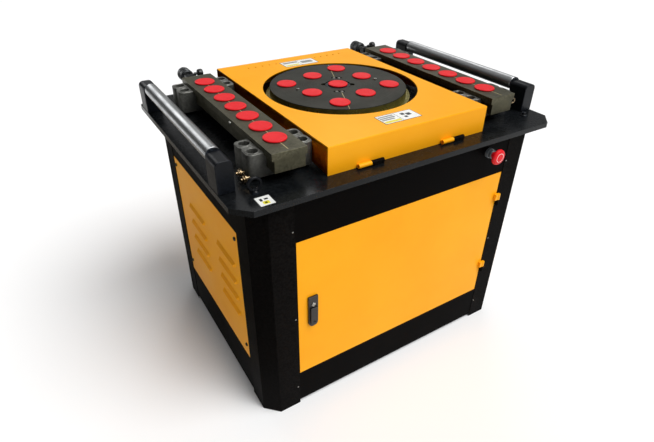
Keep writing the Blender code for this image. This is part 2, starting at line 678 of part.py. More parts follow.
def build_blocks(bench):
    """Four cast cross blocks: a channel for the bar between pin sockets, on two round pads."""
    height = BLOCK_TOP - BLOCK_BOTTOM
    play = GAP
    channel = tee_outline(BAR_W + 2 * play, BAR_STEM_W + 2 * play, BAR_TOP + 0.01,
                          BAR_TOP - BAR_HEAD_T - play, BAR_BOTTOM - play)
    spots = [(x * BLOCK_PIN_X, y * BLOCK_PIN_Y) for x in (-1, 1) for y in (-1, 1)]
    outlines = [block_outline()] + [circle(spot, BLOCK_PIN_R, 12) for spot in spots]
    for side, x in (("left", -BAR_X), ("right", BAR_X)):
        for end, y in (("front", -BLOCK_Y), ("rear", BLOCK_Y)):
            name = f"{side}_{end}_block"
            middle = TABLE_TOP + (BLOCK_TOP + BLOCK_BOTTOM) / 2
            block = bench.piece(name, plate_mesh(name, outlines, height), bench.cast, (x, y, middle))
            bench.cut(block, plate_mesh(name + "_channel", [channel], 6 * BLOCK_PIN_Y),
                      (x, y, TABLE_TOP), (math.pi / 2, 0, 0))
            pad_h = BLOCK_BOTTOM + 0.002 - GAP
            pads = [(x + dx, y, TABLE_TOP + GAP + pad_h / 2) for dx in (-BLOCK_PAD_X, BLOCK_PAD_X)]
            bench.weld(block, rods_mesh(name + "_pads", BLOCK_PAD_R, pad_h, pads, sides=12))


def build_screws(bench):
    """Feed screws with round knobs, each turning in its lug and in the bar's nut bore."""
    tip = BAR_BACK - SCREW_TIP
    collar = LUG_Y + LUG_T + GAP
    for side, x in (("left", -BAR_X), ("right", BAR_X)):
        profile = [(0, -tip), (SCREW_R, -tip), (SCREW_R, -collar), (SCREW_R * 1.5, -collar),
                   (SCREW_R * 1.5, -KNOB_Y), (KNOB_R, -KNOB_Y), (KNOB_R, -KNOB_BACK), (0, -KNOB_BACK)]
        bench.turned(side + "_feed_screw", profile, bench.cast, (x, 0, TABLE_TOP + SCREW_Z),
                     (math.pi / 2, 0, 0), 24)


def build_rollers(bench):
    """A roller on each side, turning on its axle ends between two brackets."""
    lying = (math.pi / 2, 0, 0)
    z = TABLE_TOP + ROLLER_Z
    for side, sign in (("left", -1), ("right", 1)):
        x = sign * ROLLER_X
        front = ROLLER_FRONT + GAP
        back = ROLLER_BACK - GAP
        profile = [(0, -front + AXLE_L), (AXLE_R, -front + AXLE_L), (AXLE_R, -front),
                   (ROLLER_R, -front), (ROLLER_R, -back), (AXLE_R, -back),
                   (AXLE_R, -back - AXLE_L), (0, -back - AXLE_L)]
        bench.turned(side + "_roller", profile, bench.bright, (x, 0, z), lying, 24)
        outer = TABLE_W / 2 - 2 * GAP
        outline = bracket_outline(BRACKET_W, BRACKET_H, BRACKET_CORNER)
        centre_x = sign * (outer - BRACKET_W / 2)
        for end, middle in (("front", ROLLER_FRONT - BRACKET_L / 2), ("rear", ROLLER_BACK + BRACKET_L / 2)):
            name = f"{side}_{end}_roller_bracket"
            bracket = bench.piece(name, plate_mesh(name, [outline], BRACKET_L), bench.black,
                                  (centre_x, middle, TABLE_TOP + GAP), lying)
            mouth = ROLLER_FRONT if end == "front" else ROLLER_BACK
            bench.cut(bracket, rods_mesh(name + "_bore", AXLE_R + RUN, 2 * (AXLE_L + 2 * RUN),
                                         [(x, mouth, z)], "Y", 16))


def bracket_outline(width, height, corner):
    """A bracket seen from the front: an upright block with its upper corners rounded."""
    x = width / 2
    inner = height - corner
    return ([(x, 0)] + arc((x - corner, inner), corner, 0, 90, 3)
            + arc((corner - x, inner), corner, 90, 180, 3) + [(-x, 0)])


def build_eye(bench):
    """Lifting eye: a ring on a round foot at the front left of the table."""
    z = TABLE_TOP + EYE_FOOT_H + EYE_R + EYE_WIRE_R * 0.4
    section = [i * math.pi / 3 for i in range(6)] + [0]
    eye = bench.turned("lifting_eye", [(EYE_R + EYE_WIRE_R * math.cos(a), -EYE_WIRE_R * math.sin(a))
                                       for a in section],
                       bench.black, (EYE_X, EYE_Y, z), (math.pi / 2, 0, 0), 16)
    foot = rods_mesh("eye_foot", EYE_FOOT_R, EYE_FOOT_H - GAP,
                     [(EYE_X, EYE_Y, TABLE_TOP + (EYE_FOOT_H + GAP) / 2)], "Z", 16)
    bench.weld(eye, foot)


# --- drive train ------------------------------------------------------------------------------
def gear_outline(teeth, turn):
    """Spur gear outline, its flanks straight between root and tip of the involute; turn is in degrees."""
    pitch_r = GEAR_MODULE * teeth / 2
    base_r = pitch_r * math.cos(math.radians(PRESSURE_ANGLE))
    tip_r = pitch_r + 0.9 * GEAR_MODULE
    root_r = pitch_r - 1.25 * GEAR_MODULE
    involute = math.tan(math.radians(PRESSURE_ANGLE)) - math.radians(PRESSURE_ANGLE)
    half = math.pi / (2 * teeth) - BACKLASH / (4 * pitch_r)
    points = []
    for tooth in range(teeth):
        middle = math.radians(turn) + 2 * math.pi * tooth / teeth
        flank = []
        for radius in (max(base_r, root_r), tip_r):
            angle = math.acos(min(1.0, base_r / radius))
            flank.append((radius, half + involute - (math.tan(angle) - angle)))
        flank[0] = (root_r, flank[0][1])
        for radius, spread in flank:
            points.append((radius * math.cos(middle - spread), radius * math.sin(middle - spread)))
        for radius, spread in reversed(flank):
            points.append((radius * math.cos(middle + spread), radius * math.sin(middle + spread)))
    return points


def build_gears(bench):
    """Main shaft with the bull gear, and the input shaft with pinion and pulley."""
    top = DISC_BOTTOM - GAP
    flange = top - SHAFT_FLANGE_T
    foot = CASE_BOTTOM + GAP
    gear_low = GEAR_Z - GEAR_T / 2
    main = bench.turned("main_gear_shaft", [
        (0, top), (SHAFT_FLANGE_R, top), (SHAFT_FLANGE_R, flange), (SHAFT_R, flange),
        (SHAFT_R, gear_low - 0.01), (SHAFT_FOOT_R, gear_low - 0.01), (SHAFT_FOOT_R, foot), (0, foot)],
        bench.cast, (0, DISC_Y, 0))
    bench.weld(main, plate_mesh("bull_gear", [gear_outline(GEAR_TEETH, 0)], GEAR_T), (0, DISC_Y, GEAR_Z))
    half = 180 / PINION_TEETH
    shaft_top = GEAR_Z + GEAR_T
    driven = pulley_profile(DRIVEN_PITCH_R, PINION_SHAFT_R, shaft_top)
    shaft = bench.turned("input_pulley_shaft", driven, bench.cast, (PINION_X, DISC_Y, 0))
    bench.weld(shaft, plate_mesh("pinion", [gear_outline(PINION_TEETH, half)], GEAR_T + 0.004),
               (PINION_X, DISC_Y, GEAR_Z))


def pulley_profile(pitch_r, shaft_r, shaft_top):
    """A one-groove pulley on a shaft that rises to shaft_top, from the top down."""
    high = PULLEY_Z + PULLEY_T / 2
    low = PULLEY_Z - PULLEY_T / 2
    groove = pitch_r - BELT_DEPTH / 2 - GROOVE_ROOM
    lip = pitch_r + BELT_DEPTH / 2 + PULLEY_LIP
    half_w = BELT_W / 2 + GAP
    return [(0, shaft_top), (shaft_r, shaft_top), (shaft_r, high), (lip, high), (lip, PULLEY_Z + half_w),
            (groove, PULLEY_Z + half_w), (groove, PULLEY_Z - half_w), (lip, PULLEY_Z - half_w),
            (lip, low), (0, low)]


def build_case(bench):
    """Gearbox casing: an open-topped shell round both gears, closed above by the table."""
    gear_tip = GEAR_MODULE * (GEAR_TEETH / 2 + 1)
    pinion_tip = GEAR_MODULE * (PINION_TEETH / 2 + 1)
    near = (0, DISC_Y)
    far = (PINION_X, DISC_Y)
    room = CASE_PLAY
    inner = hull_of_circles(near, gear_tip + room, far, pinion_tip + room, 16)
    room += CASE_WALL
    outer = hull_of_circles(near, gear_tip + room, far, pinion_tip + room, 16)
    height = CABINET_TOP - CASE_BOTTOM
    case = bench.piece("gearbox_casing", plate_mesh("gearbox_casing", [outer], height), bench.grey,
                       (0, 0, CASE_BOTTOM + height / 2))
    bench.cut(case, plate_mesh("case_hollow", [inner], height),
              (0, 0, CASE_BOTTOM + CASE_WALL + height / 2))
    bench.cut(case, rods_mesh("main_bearing_bore", SHAFT_FOOT_R + RUN, 4 * CASE_WALL,
                              [(0, DISC_Y, CASE_BOTTOM)], "Z", 24))
    bench.cut(case, rods_mesh("input_bearing_bore", PINION_SHAFT_R + RUN, 4 * CASE_WALL,
                              [(PINION_X, DISC_Y, CASE_BOTTOM)], "Z", 24))


def build_motor(bench):
    """Upright motor on the floor tray, its pulley and the belt to the input shaft."""
    low = FOOT_H + 2 * GAP + TRAY_T
    bore = MOTOR_SHAFT_R + RUN
    deep = MOTOR_TOP - 0.05
    profile = [(bore, deep), (bore, MOTOR_TOP), (MOTOR_R * 0.6, MOTOR_TOP), (MOTOR_R, MOTOR_TOP - 0.02),
               (MOTOR_R, low + MOTOR_FOOT_T), (MOTOR_FOOT_R, low + MOTOR_FOOT_T), (MOTOR_FOOT_R, low),
               (0, low)]
    profile.insert(0, (0, deep))
    bench.turned("motor_body", profile, bench.grey, (MOTOR_X, DISC_Y, 0))
    half_t = PULLEY_T / 2
    pulley = pulley_profile(MOTOR_PITCH_R, MOTOR_SHAFT_R, PULLEY_Z + half_t + 0.004)
    pulley.insert(-1, (MOTOR_SHAFT_R, PULLEY_Z - half_t))
    pulley.insert(-1, (MOTOR_SHAFT_R, deep + GAP))
    pulley[-1] = (0, deep + GAP)
    bench.turned("motor_pulley", pulley, bench.cast, (MOTOR_X, DISC_Y, 0), sides=24)
    near = (0, 0)
    far = (MOTOR_X - PINION_X, 0)
    belt = []
    for half in (BELT_DEPTH / 2, -BELT_DEPTH / 2):
        loop = hull_of_circles(near, DRIVEN_PITCH_R + half, (-far[0], 0), MOTOR_PITCH_R + half, 20)
        belt.append([(-x, y) for x, y in loop])
    bench.piece("v_belt", plate_mesh("v_belt", belt, BELT_W), bench.rubber, (PINION_X, DISC_Y, PULLEY_Z))


def main():
    """Build the whole bench."""
    clear_scene()
    bench = Bench()
    for build in (build_table, build_frame, build_tray, build_door, build_lock, build_side_panels,
                  build_stop, build_disc, build_plugs, build_cover, build_cover_hinges, build_bars,
                  build_blocks, build_screws, build_rollers, build_eye, build_gears, build_case,
                  build_motor):
        build(bench)
    bench.settle()
    bpy.context.view_layer.update()


main()
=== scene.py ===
"""Looks of the rebar bending bench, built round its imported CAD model.

Metres, +Z up, X along the door side, -Y the front. A piece's place is in its mesh, and every piece
rides on the CAD body that it belongs to. Sizes come from the boxes of the CAD nodes.
"""
import logging
import math
from dataclasses import dataclass, field
from enum import Enum

import bpy
from mathutils import Euler, Matrix, Vector


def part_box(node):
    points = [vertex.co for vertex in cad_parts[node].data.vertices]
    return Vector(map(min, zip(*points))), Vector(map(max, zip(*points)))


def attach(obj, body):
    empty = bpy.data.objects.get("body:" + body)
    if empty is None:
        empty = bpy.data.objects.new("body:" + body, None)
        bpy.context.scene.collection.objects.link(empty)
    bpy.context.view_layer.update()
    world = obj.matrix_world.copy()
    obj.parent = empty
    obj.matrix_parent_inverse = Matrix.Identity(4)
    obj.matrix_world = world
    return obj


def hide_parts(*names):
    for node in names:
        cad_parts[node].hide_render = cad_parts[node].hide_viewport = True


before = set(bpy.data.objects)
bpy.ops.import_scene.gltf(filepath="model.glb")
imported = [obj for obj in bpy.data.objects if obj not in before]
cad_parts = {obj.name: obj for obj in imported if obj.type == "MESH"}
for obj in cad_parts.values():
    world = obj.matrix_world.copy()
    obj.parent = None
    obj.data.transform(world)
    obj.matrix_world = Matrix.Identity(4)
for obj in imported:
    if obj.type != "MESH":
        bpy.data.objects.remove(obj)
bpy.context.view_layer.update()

LOG = logging.getLogger("bending_bench")
MM = 0.001
FULL_TURN = 2 * math.pi
QUARTER = math.pi / 2
COLOUR_A = 6                 # colour sockets of Blender's Mix node
COLOUR_B = 7
COLOUR_OUT = 2
Outline = list[tuple[float, float]]
Triple = tuple[float, float, float]


# --- sizes taken from the CAD nodes -----------------------------------------------------------
@dataclass(frozen=True)
class Box:
    """The place of a CAD node at rest."""

    low: Vector
    high: Vector

    @property
    def size(self) -> Vector:
        """Extent along each axis."""
        return self.high - self.low

    @property
    def centre(self) -> Vector:
        """Middle point."""
        return (self.high + self.low) / 2


def box_of(node: str) -> Box:
    """Box of a CAD node."""
    return Box(*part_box(node))


# --- modelling by operators -------------------------------------------------------------------
def select_only(piece: bpy.types.Object) -> bpy.types.Object:
    """Make one object the only selected one, and the active one.

    Args:
        piece: the object to work on.

    Returns:
        The same object.
    """
    bpy.ops.object.select_all(action="DESELECT")
    piece.select_set(True)
    bpy.context.view_layer.objects.active = piece
    return piece


def edit(piece: bpy.types.Object) -> None:
    """Enter edit mode on one object, with all of it selected."""
    select_only(piece)
    bpy.ops.object.mode_set(mode="EDIT")
    bpy.ops.mesh.select_mode(type="VERT")
    bpy.ops.mesh.select_all(action="SELECT")


def leave_edit(merge: float = 1e-6) -> None:
    """Merge doubled points, turn the faces outwards and go back to object mode."""
    bpy.ops.mesh.select_all(action="SELECT")
    bpy.ops.mesh.remove_doubles(threshold=merge)
    bpy.ops.mesh.normals_make_consistent(inside=False)
    bpy.ops.object.mode_set(mode="OBJECT")


def drawn_line(name: str, points: list[Triple], closed: bool) -> bpy.types.Object:
    """A chain of points, drawn by extruding one point; it is left in edit mode, all selected.

    Args:
        name: name of the new object.
        points: the chain's points in order.
        closed: whether the last point joins the first.

    Returns:
        The object that holds the chain.
    """
    bpy.ops.object.select_all(action="DESELECT")
    bpy.ops.mesh.primitive_plane_add(size=MM, location=(0, 0, 0))
    piece = bpy.context.object
    piece.name = name
    piece.data.name = name
    edit(piece)
    bpy.ops.mesh.merge(type="CENTER")
    bpy.ops.transform.translate(value=points[0])
    steps = list(zip(points, points[1:])) + ([(points[-1], points[0])] if closed else [])
    for here, there in steps:
        step = [b - a for a, b in zip(here, there)]
        bpy.ops.mesh.extrude_vertices_move(TRANSFORM_OT_translate={"value": step})
    bpy.ops.mesh.select_all(action="SELECT")
    if closed:
        bpy.ops.mesh.remove_doubles(threshold=1e-6)
        bpy.ops.mesh.select_all(action="SELECT")
    return piece


def turned(name: str, profile: Outline, place: Triple, axis: str = "Z", sides: int = 64,
           closed: bool = False) -> bpy.types.Object:
    """A turned piece: a profile spun about its axis.

    Args:
        name: name of the new object.
        profile: (radius, height along the axis) points.
        place: where the profile's zero height stands.
        axis: the axis it points along, such as "Z", "X" or "-Y".
        sides: steps of the spin.
        closed: whether the profile is a closed ring, as for a tube.

    Returns:
        The new object, its place in its mesh.
    """
    piece = drawn_line(name, [(radius, 0.0, height) for radius, height in profile], closed)
    bpy.ops.mesh.spin(steps=sides, angle=FULL_TURN, center=(0, 0, 0), axis=(0, 0, 1))
    leave_edit()
    turns = {"Z": (0, 0, 0), "-Z": (math.pi, 0, 0), "X": (0, QUARTER, 0), "-X": (0, -QUARTER, 0),
             "Y": (-QUARTER, 0, 0), "-Y": (QUARTER, 0, 0)}
    return put(piece, place, turns[axis])


def prism(name: str, outline: Outline, bottom: float, top: float, place: Triple = (0, 0, 0),
          turn: Triple = (0, 0, 0)) -> bpy.types.Object:
    """A flat outline, filled and extruded upwards.

    Args:
        name: name of the new object.
        outline: corners in the XY plane.
        bottom: height of the lower face.
        top: height of the upper face.
        place: where its zero goes afterwards.
        turn: Euler angles that it is turned by before that.

    Returns:
        The new object, its place in its mesh.
    """
    piece = drawn_line(name, [(x, y, bottom) for x, y in outline], True)
    bpy.ops.mesh.edge_face_add()
    bpy.ops.mesh.extrude_region_move(TRANSFORM_OT_translate={"value": (0, 0, top - bottom)})
    leave_edit()
    return put(piece, place, turn)


def block(name: str, low: Triple, high: Triple) -> bpy.types.Object:
    """A box between two corners, ready to be shaped further."""
    middle = [(a + b) / 2 for a, b in zip(low, high)]
    bpy.ops.object.select_all(action="DESELECT")
    bpy.ops.mesh.primitive_cube_add(size=1, location=middle,
                                    scale=[abs(b - a) for a, b in zip(low, high)])
    piece = bpy.context.object
    piece.name = name
    piece.data.name = name
    return put(piece)


def put(piece: bpy.types.Object, place: Triple | None = None,
        turn: Triple = (0, 0, 0)) -> bpy.types.Object:
    """Turn and move a piece, then write its place into its mesh."""
    select_only(piece)
    if place is not None:
        piece.rotation_euler = Euler(turn)
        piece.location = place
    bpy.ops.object.transform_apply(location=True, rotation=True, scale=True)
    return piece


def copied(piece: bpy.types.Object, name: str, shift: Triple) -> bpy.types.Object:
    """A copy with its own mesh, moved by a step."""
    select_only(piece)
    bpy.ops.object.duplicate()
    made = bpy.context.object
    made.name = name
    made.data.name = name
    return put(made, shift)


def joined(name: str, pieces: list[bpy.types.Object]) -> bpy.types.Object:
    """Several objects made one."""
    bpy.ops.object.select_all(action="DESELECT")
    for piece in pieces:
        piece.select_set(True)
    bpy.context.view_layer.objects.active = pieces[0]
    if len(pieces) > 1:
        bpy.ops.object.join()
    made = bpy.context.object
    made.name = name
    made.data.name = name
    return made


def carve(piece: bpy.types.Object, tool: bpy.types.Object,
          operation: str = "DIFFERENCE") -> bpy.types.Object:
    """Cut a tool out of a piece, or weld it on, and remove the tool."""
    select_only(piece)
    step = piece.modifiers.new("carve", "BOOLEAN")
    step.operation = operation
    step.solver = "EXACT"
    step.object = tool
    bpy.ops.object.modifier_apply(modifier=step.name)
    bpy.data.objects.remove(tool, do_unlink=True)
    return piece


def rounded(piece: bpy.types.Object, width: float, steps: int = 2,
            angle: float = 35.0) -> bpy.types.Object:
    """Round the edges that are sharper than an angle in degrees."""
    select_only(piece)
    bevel = piece.modifiers.new("round", "BEVEL")
    bevel.width = width
    bevel.segments = steps
    bevel.limit_method = "ANGLE"
    bevel.angle_limit = math.radians(angle)
    bevel.harden_normals = False
    bpy.ops.object.modifier_apply(modifier=bevel.name)
    return piece


def cad_copy(node: str, name: str) -> bpy.types.Object:
    """A merged copy of a CAD node's mesh, its flat faces made whole, ready for finer shaping.

    Args:
        node: the CAD node.
        name: name of the new object.

    Returns:
        The new object.
    """
    made = bpy.data.objects.new(name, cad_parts[node].data.copy())
    made.data.name = name
    made.data.materials.clear()
    bpy.context.scene.collection.objects.link(made)
    edit(made)
    bpy.ops.mesh.remove_doubles(threshold=0.01 * MM)
    bpy.ops.mesh.dissolve_limited(angle_limit=math.radians(0.4))
    leave_edit(0.01 * MM)
    return made


def arc(centre: tuple[float, float], radius: float, start: float, end: float, steps: int) -> Outline:
    """Points on an arc between two angles in degrees, both ends included."""
    angles = [math.radians(start + (end - start) * i / steps) for i in range(steps + 1)]
    return [(centre[0] + radius * math.cos(a), centre[1] + radius * math.sin(a)) for a in angles]


def ring_of(centre: tuple[float, float], radius: float, sides: int) -> Outline:
    """A closed circle of points."""
    return arc(centre, radius, 0, 360 * (sides - 1) / sides, sides - 1)


def rounded_box_outline(width: float, depth: float, corner: float, steps: int = 6) -> Outline:
    """A rectangle about zero with round corners."""
    x = width / 2 - corner
    y = depth / 2 - corner
    return (arc((x, y), corner, 0, 90, steps) + arc((-x, y), corner, 90, 180, steps)
            + arc((-x, -y), corner, 180, 270, steps) + arc((x, -y), corner, 270, 360, steps))


# --- finishes ---------------------------------------------------------------------------------
def linear(code: str) -> tuple[float, float, float, float]:
    """An sRGB hex colour such as "#FFB02E" as linear RGBA."""
    values = [int(code[i:i + 2], 16) / 255 for i in (1, 3, 5)]
    red, green, blue = [v / 12.92 if v <= 0.04045 else ((v + 0.055) / 1.055) ** 2.4 for v in values]
    return (red, green, blue, 1.0)


def add_node(tree: bpy.types.NodeTree, kind: str, values: dict | None = None,
             links: dict | None = None, **settings: object) -> bpy.types.Node:
    """Add a node to a material.

    Args:
        tree: the material's node tree.
        kind: the node's type name.
        values: constants by socket name or number.
        links: output sockets by the name or number of the input that they go to.
        settings: the node's own properties.

    Returns:
        The new node.
    """
    node = tree.nodes.new(kind)
    for name, value in settings.items():
        setattr(node, name, value)
    for key, value in (values or {}).items():
        node.inputs[key].default_value = value
    for key, socket in (links or {}).items():
        tree.links.new(socket, node.inputs[key])
    return node


class Pattern(Enum):
    """How the surface was worked, which sets the pattern of its fine marks."""

    SPRAYED = "orange peel of a sprayed coat"
    CAST = "sand texture of a casting"
    MILLED = "long strokes along Y"
    TURNED = "rings about a vertical axis"
    DRAWN = "fine rings across a rod along Y"
    MOULDED = "fine even grain of moulded plastic"


class Slot(Enum):
    """The record's material slots."""

    YELLOW = "yellow_enamel"
    BLACK = "black_enamel"
    DARK = "blackened_steel"
    CAST = "cast_steel"
    BRIGHT = "bright_steel"
    RED = "red_plastic"
    PLASTIC = "black_plastic"
    RUBBER = "belt_rubber"
    GREY = "grey_enamel"


@dataclass(frozen=True)
class Finish:
    """One surface finish: what it is made of and how it was worked.

    Sizes are in millimetres. The two colours are mixed by soft clouds, and the edge colour goes on
    edges and corners: on most finishes it is wear, on the bracket enamel a painted highlight.
    """

    name: str
    slot: Slot
    pattern: Pattern
    colour: str
    second: str
    cloud_mm: float = 90.0
    grain_mm: float = 1.5
    bump_mm: float = 0.05
    rough: tuple[float, float] = (0.35, 0.45)
    metal: float = 0.0
    edge: str | None = None
    edge_share: float = 0.5
    centre: Triple = (0.0, 0.0, 0.0)
    specular: float = 0.5

    def material(self) -> bpy.types.Material:
        """The finish as a procedural material, made once."""
        found = bpy.data.materials.get(self.name)
        if found is not None:
            return found
        made = bpy.data.materials.new(self.name)
        made.use_nodes = True
        tree = made.node_tree
        shader = tree.nodes["Principled BSDF"]
        shader.inputs["Metallic"].default_value = self.metal
        shader.inputs["Specular IOR Level"].default_value = self.specular
        place = add_node(tree, "ShaderNodeTexCoord").outputs["Object"]
        clouds = add_node(tree, "ShaderNodeTexNoise", {"Scale": 1 / (self.cloud_mm * MM), "Detail": 4.0,
                                                       "Roughness": 0.6}, {"Vector": place})
        marks = self.marks(tree, place)
        spread = add_node(tree, "ShaderNodeMapRange", {"From Min": 0.3, "From Max": 0.7},
                          {"Value": clouds.outputs["Fac"]})
        base = add_node(tree, "ShaderNodeMix", {COLOUR_A: linear(self.colour),
                                                COLOUR_B: linear(self.second)},
                        {"Factor": spread.outputs["Result"]}, data_type="RGBA")
        colour = base.outputs[COLOUR_OUT]
        if self.edge is not None:
            colour = self.edge_wear_and_highlight(tree, colour, place)
        tree.links.new(colour, shader.inputs["Base Color"])
        low, high = self.rough
        both = add_node(tree, "ShaderNodeMath", {1: 0.5}, {0: marks}, operation="MULTIPLY")
        total = add_node(tree, "ShaderNodeMath", {}, {0: both.outputs[0], 1: clouds.outputs["Fac"]},
                         operation="ADD")
        rough = add_node(tree, "ShaderNodeMapRange", {"From Min": 0.5, "From Max": 1.0, "To Min": low,
                                                      "To Max": high}, {"Value": total.outputs[0]})
        tree.links.new(rough.outputs["Result"], shader.inputs["Roughness"])
        bump = add_node(tree, "ShaderNodeBump", {"Strength": 1.0, "Distance": self.bump_mm * MM},
                        {"Height": marks})
        tree.links.new(bump.outputs["Normal"], shader.inputs["Normal"])
        return made

    def marks(self, tree: bpy.types.NodeTree, place: bpy.types.NodeSocket) -> bpy.types.NodeSocket:
        """The fine marks as a height from 0 to 1.

        Args:
            tree: the material's node tree.
            place: the surface's place.

        Returns:
            The socket that gives the height.
        """
        fine = 1 / (self.grain_mm * MM)
        if self.pattern in (Pattern.SPRAYED, Pattern.MOULDED, Pattern.CAST):
            detail = {Pattern.SPRAYED: 1.0, Pattern.MOULDED: 2.0, Pattern.CAST: 6.0}[self.pattern]
            grain = add_node(tree, "ShaderNodeTexNoise", {"Scale": fine, "Detail": detail},
                             {"Vector": place})
            return grain.outputs["Fac"]
        if self.pattern is Pattern.TURNED:
            mapped = add_node(tree, "ShaderNodeMapping", {"Location": tuple(-c for c in self.centre)},
                              {"Vector": place})
            flat = add_node(tree, "ShaderNodeVectorMath", {1: (1, 1, 0)}, {0: mapped.outputs[0]},
                            operation="MULTIPLY")
            radius = add_node(tree, "ShaderNodeVectorMath", {}, {0: flat.outputs[0]},
                              operation="LENGTH")
            rings = add_node(tree, "ShaderNodeTexNoise", {"Scale": fine, "Detail": 1.0},
                             {"W": radius.outputs["Value"]}, noise_dimensions="1D")
            return rings.outputs["Fac"]
        stretch = (1.0, 0.02, 1.0) if self.pattern is Pattern.MILLED else (0.06, 1.0, 0.06)
        mapped = add_node(tree, "ShaderNodeMapping", {"Scale": stretch}, {"Vector": place})
        strokes = add_node(tree, "ShaderNodeTexNoise", {"Scale": fine, "Detail": 3.0},
                           {"Vector": mapped.outputs[0]})
        return strokes.outputs["Fac"]

    def edge_wear_and_highlight(self, tree: bpy.types.NodeTree, colour: bpy.types.NodeSocket,
             place: bpy.types.NodeSocket) -> bpy.types.NodeSocket:
        """Mix in the edge colour where the surface is convex, broken up by noise: wear on most finishes, a
        painted highlight where the edge colour stands for light caught by the edges.

        Args:
            tree: the material's node tree.
            colour: the colour so far.
            place: the surface's place.

        Returns:
            The mixed colour.
        """
        shape = add_node(tree, "ShaderNodeNewGeometry")
        edges = add_node(tree, "ShaderNodeMapRange", {"From Min": 0.53, "From Max": 0.60},
                         {"Value": shape.outputs["Pointiness"]})
        chips = add_node(tree, "ShaderNodeTexNoise", {"Scale": 1 / (6 * MM), "Detail": 5.0},
                         {"Vector": place})
        broken = add_node(tree, "ShaderNodeMapRange", {"From Min": 0.35, "From Max": 0.65,
                                                       "To Max": self.edge_share},
                          {"Value": chips.outputs["Fac"]})
        share = add_node(tree, "ShaderNodeMath", {}, {0: edges.outputs["Result"],
                                                      1: broken.outputs["Result"]},
                         operation="MULTIPLY")
        mix = add_node(tree, "ShaderNodeMix", {COLOUR_B: linear(self.edge)},
                       {"Factor": share.outputs[0], COLOUR_A: colour}, data_type="RGBA")
        return mix.outputs[COLOUR_OUT]


# Powder coat: sprayed polyester, a soft gloss with fine orange peel.
AMBER = Finish("powder_coat_amber", Slot.YELLOW, Pattern.SPRAYED, "#FFB016", "#FCA70E", cloud_mm=260,
               grain_mm=1.6, bump_mm=0.012, rough=(0.28, 0.38), specular=0.12)
# Stoving enamel on the thick plate: glossy black, dusty in clouds, rubbed grey at its edges.
GLOSS_BLACK = Finish("stoving_enamel_black", Slot.BLACK, Pattern.SPRAYED, "#070809", "#101214",
                     cloud_mm=70, grain_mm=1.2, bump_mm=0.015, rough=(0.20, 0.32), specular=0.18,
                     edge="#2C3033", edge_share=0.5)
# Powder coat on the folded frame: a flatter black with a warm tone.
SATIN_BLACK = Finish("powder_coat_black", Slot.BLACK, Pattern.SPRAYED, "#040303", "#080605",
                     cloud_mm=180, grain_mm=1.6, bump_mm=0.012, rough=(0.45, 0.60), specular=0.02,
                     edge="#2C2A28", edge_share=0.4)
# Brushed-on enamel on the machined brackets: blue black, with a painted highlight: the lighter blue grey at
# its edges stands for light caught there.
BRACKET_BLACK = Finish("brushed_enamel_blue_black", Slot.BLACK, Pattern.SPRAYED, "#05070B", "#0B0D12",
                       cloud_mm=30, grain_mm=2.5, bump_mm=0.04, rough=(0.32, 0.46), specular=0.20,
                       edge="#4A525E", edge_share=0.5)
# Hot-blackened steel, ground along its length: olive brown oxide over faint strokes.
BAR_STEEL = Finish("blackened_steel_ground", Slot.DARK, Pattern.MILLED, "#55523F", "#403E30",
                   cloud_mm=55, grain_mm=0.8, bump_mm=0.02, rough=(0.34, 0.52), metal=0.8,
                   edge="#8A8670", edge_share=0.5)
# The same steel faced on a lathe: fine rings, drawn at 3 mm, coarser than the real tool's feed.
DISC_STEEL = Finish("blackened_steel_faced", Slot.DARK, Pattern.TURNED, "#26261A", "#1E1E13",
                    cloud_mm=70, grain_mm=3.0, bump_mm=0.0006, rough=(0.38, 0.50), metal=0.4,
                    specular=0.25, centre=tuple(box_of("turntable_disc").centre))
# The angle ring: turned a little brighter, its lines closer together. The disc's rim band wears it too,
# where its bright yellow olive colour is a painted reflection of the yellow cover.
RING_STEEL_AND_RIM_REFLECTION = Finish("blackened_steel_turned_and_rim_reflection", Slot.DARK, Pattern.TURNED, "#948A44", "#6A6330",
                    cloud_mm=20, grain_mm=1.6, bump_mm=0.004, rough=(0.24, 0.36), metal=0.7,
                    centre=tuple(box_of("turntable_disc").centre))
# Cast steel, sand texture with machined corners gone bright.
CAST_STEEL = Finish("cast_steel_grey", Slot.CAST, Pattern.CAST, "#6B6B66", "#4A4A46", cloud_mm=28,
                    grain_mm=2.2, bump_mm=0.35, rough=(0.42, 0.60), metal=0.75,
                    edge="#B5B5AE", edge_share=0.7)
# Ground and drawn bright steel: rings across the tube, drawn at 1.2 mm.
ROLLER_STEEL = Finish("drawn_steel_bright", Slot.BRIGHT, Pattern.DRAWN, "#C2C4C5", "#A9ABAC",
                      cloud_mm=70, grain_mm=1.2, bump_mm=0.0015, rough=(0.28, 0.40), metal=1.0)
# Turned bright steel of pins, shafts and screw heads.
TURNED_STEEL = Finish("turned_steel_bright", Slot.BRIGHT, Pattern.MOULDED, "#C2C2BC", "#9A9A94",
                      cloud_mm=12, grain_mm=0.8, bump_mm=0.01, rough=(0.22, 0.38), metal=1.0)
# Black oxide on small screws and knurled knobs.
BLACK_OXIDE = Finish("black_oxide_steel", Slot.CAST, Pattern.MOULDED, "#3A3C3E", "#26282A",
                     cloud_mm=14, grain_mm=0.8, bump_mm=0.02, rough=(0.30, 0.45), metal=0.8,
                     edge="#8C8F90", edge_share=0.7)
# Hardened steel, oil-blued almost to black.
BLUED_STEEL = Finish("oil_blued_steel", Slot.CAST, Pattern.MOULDED, "#0B1116", "#070B0F",
                     cloud_mm=14, grain_mm=0.8, bump_mm=0.01, rough=(0.30, 0.42), specular=0.2)
# Zinc plate, yellow passivated.
ZINC = Finish("zinc_yellow_passivated", Slot.BRIGHT, Pattern.MOULDED, "#A8906C", "#8E7E68",
              cloud_mm=6, grain_mm=0.8, bump_mm=0.01, rough=(0.22, 0.36), metal=1.0)
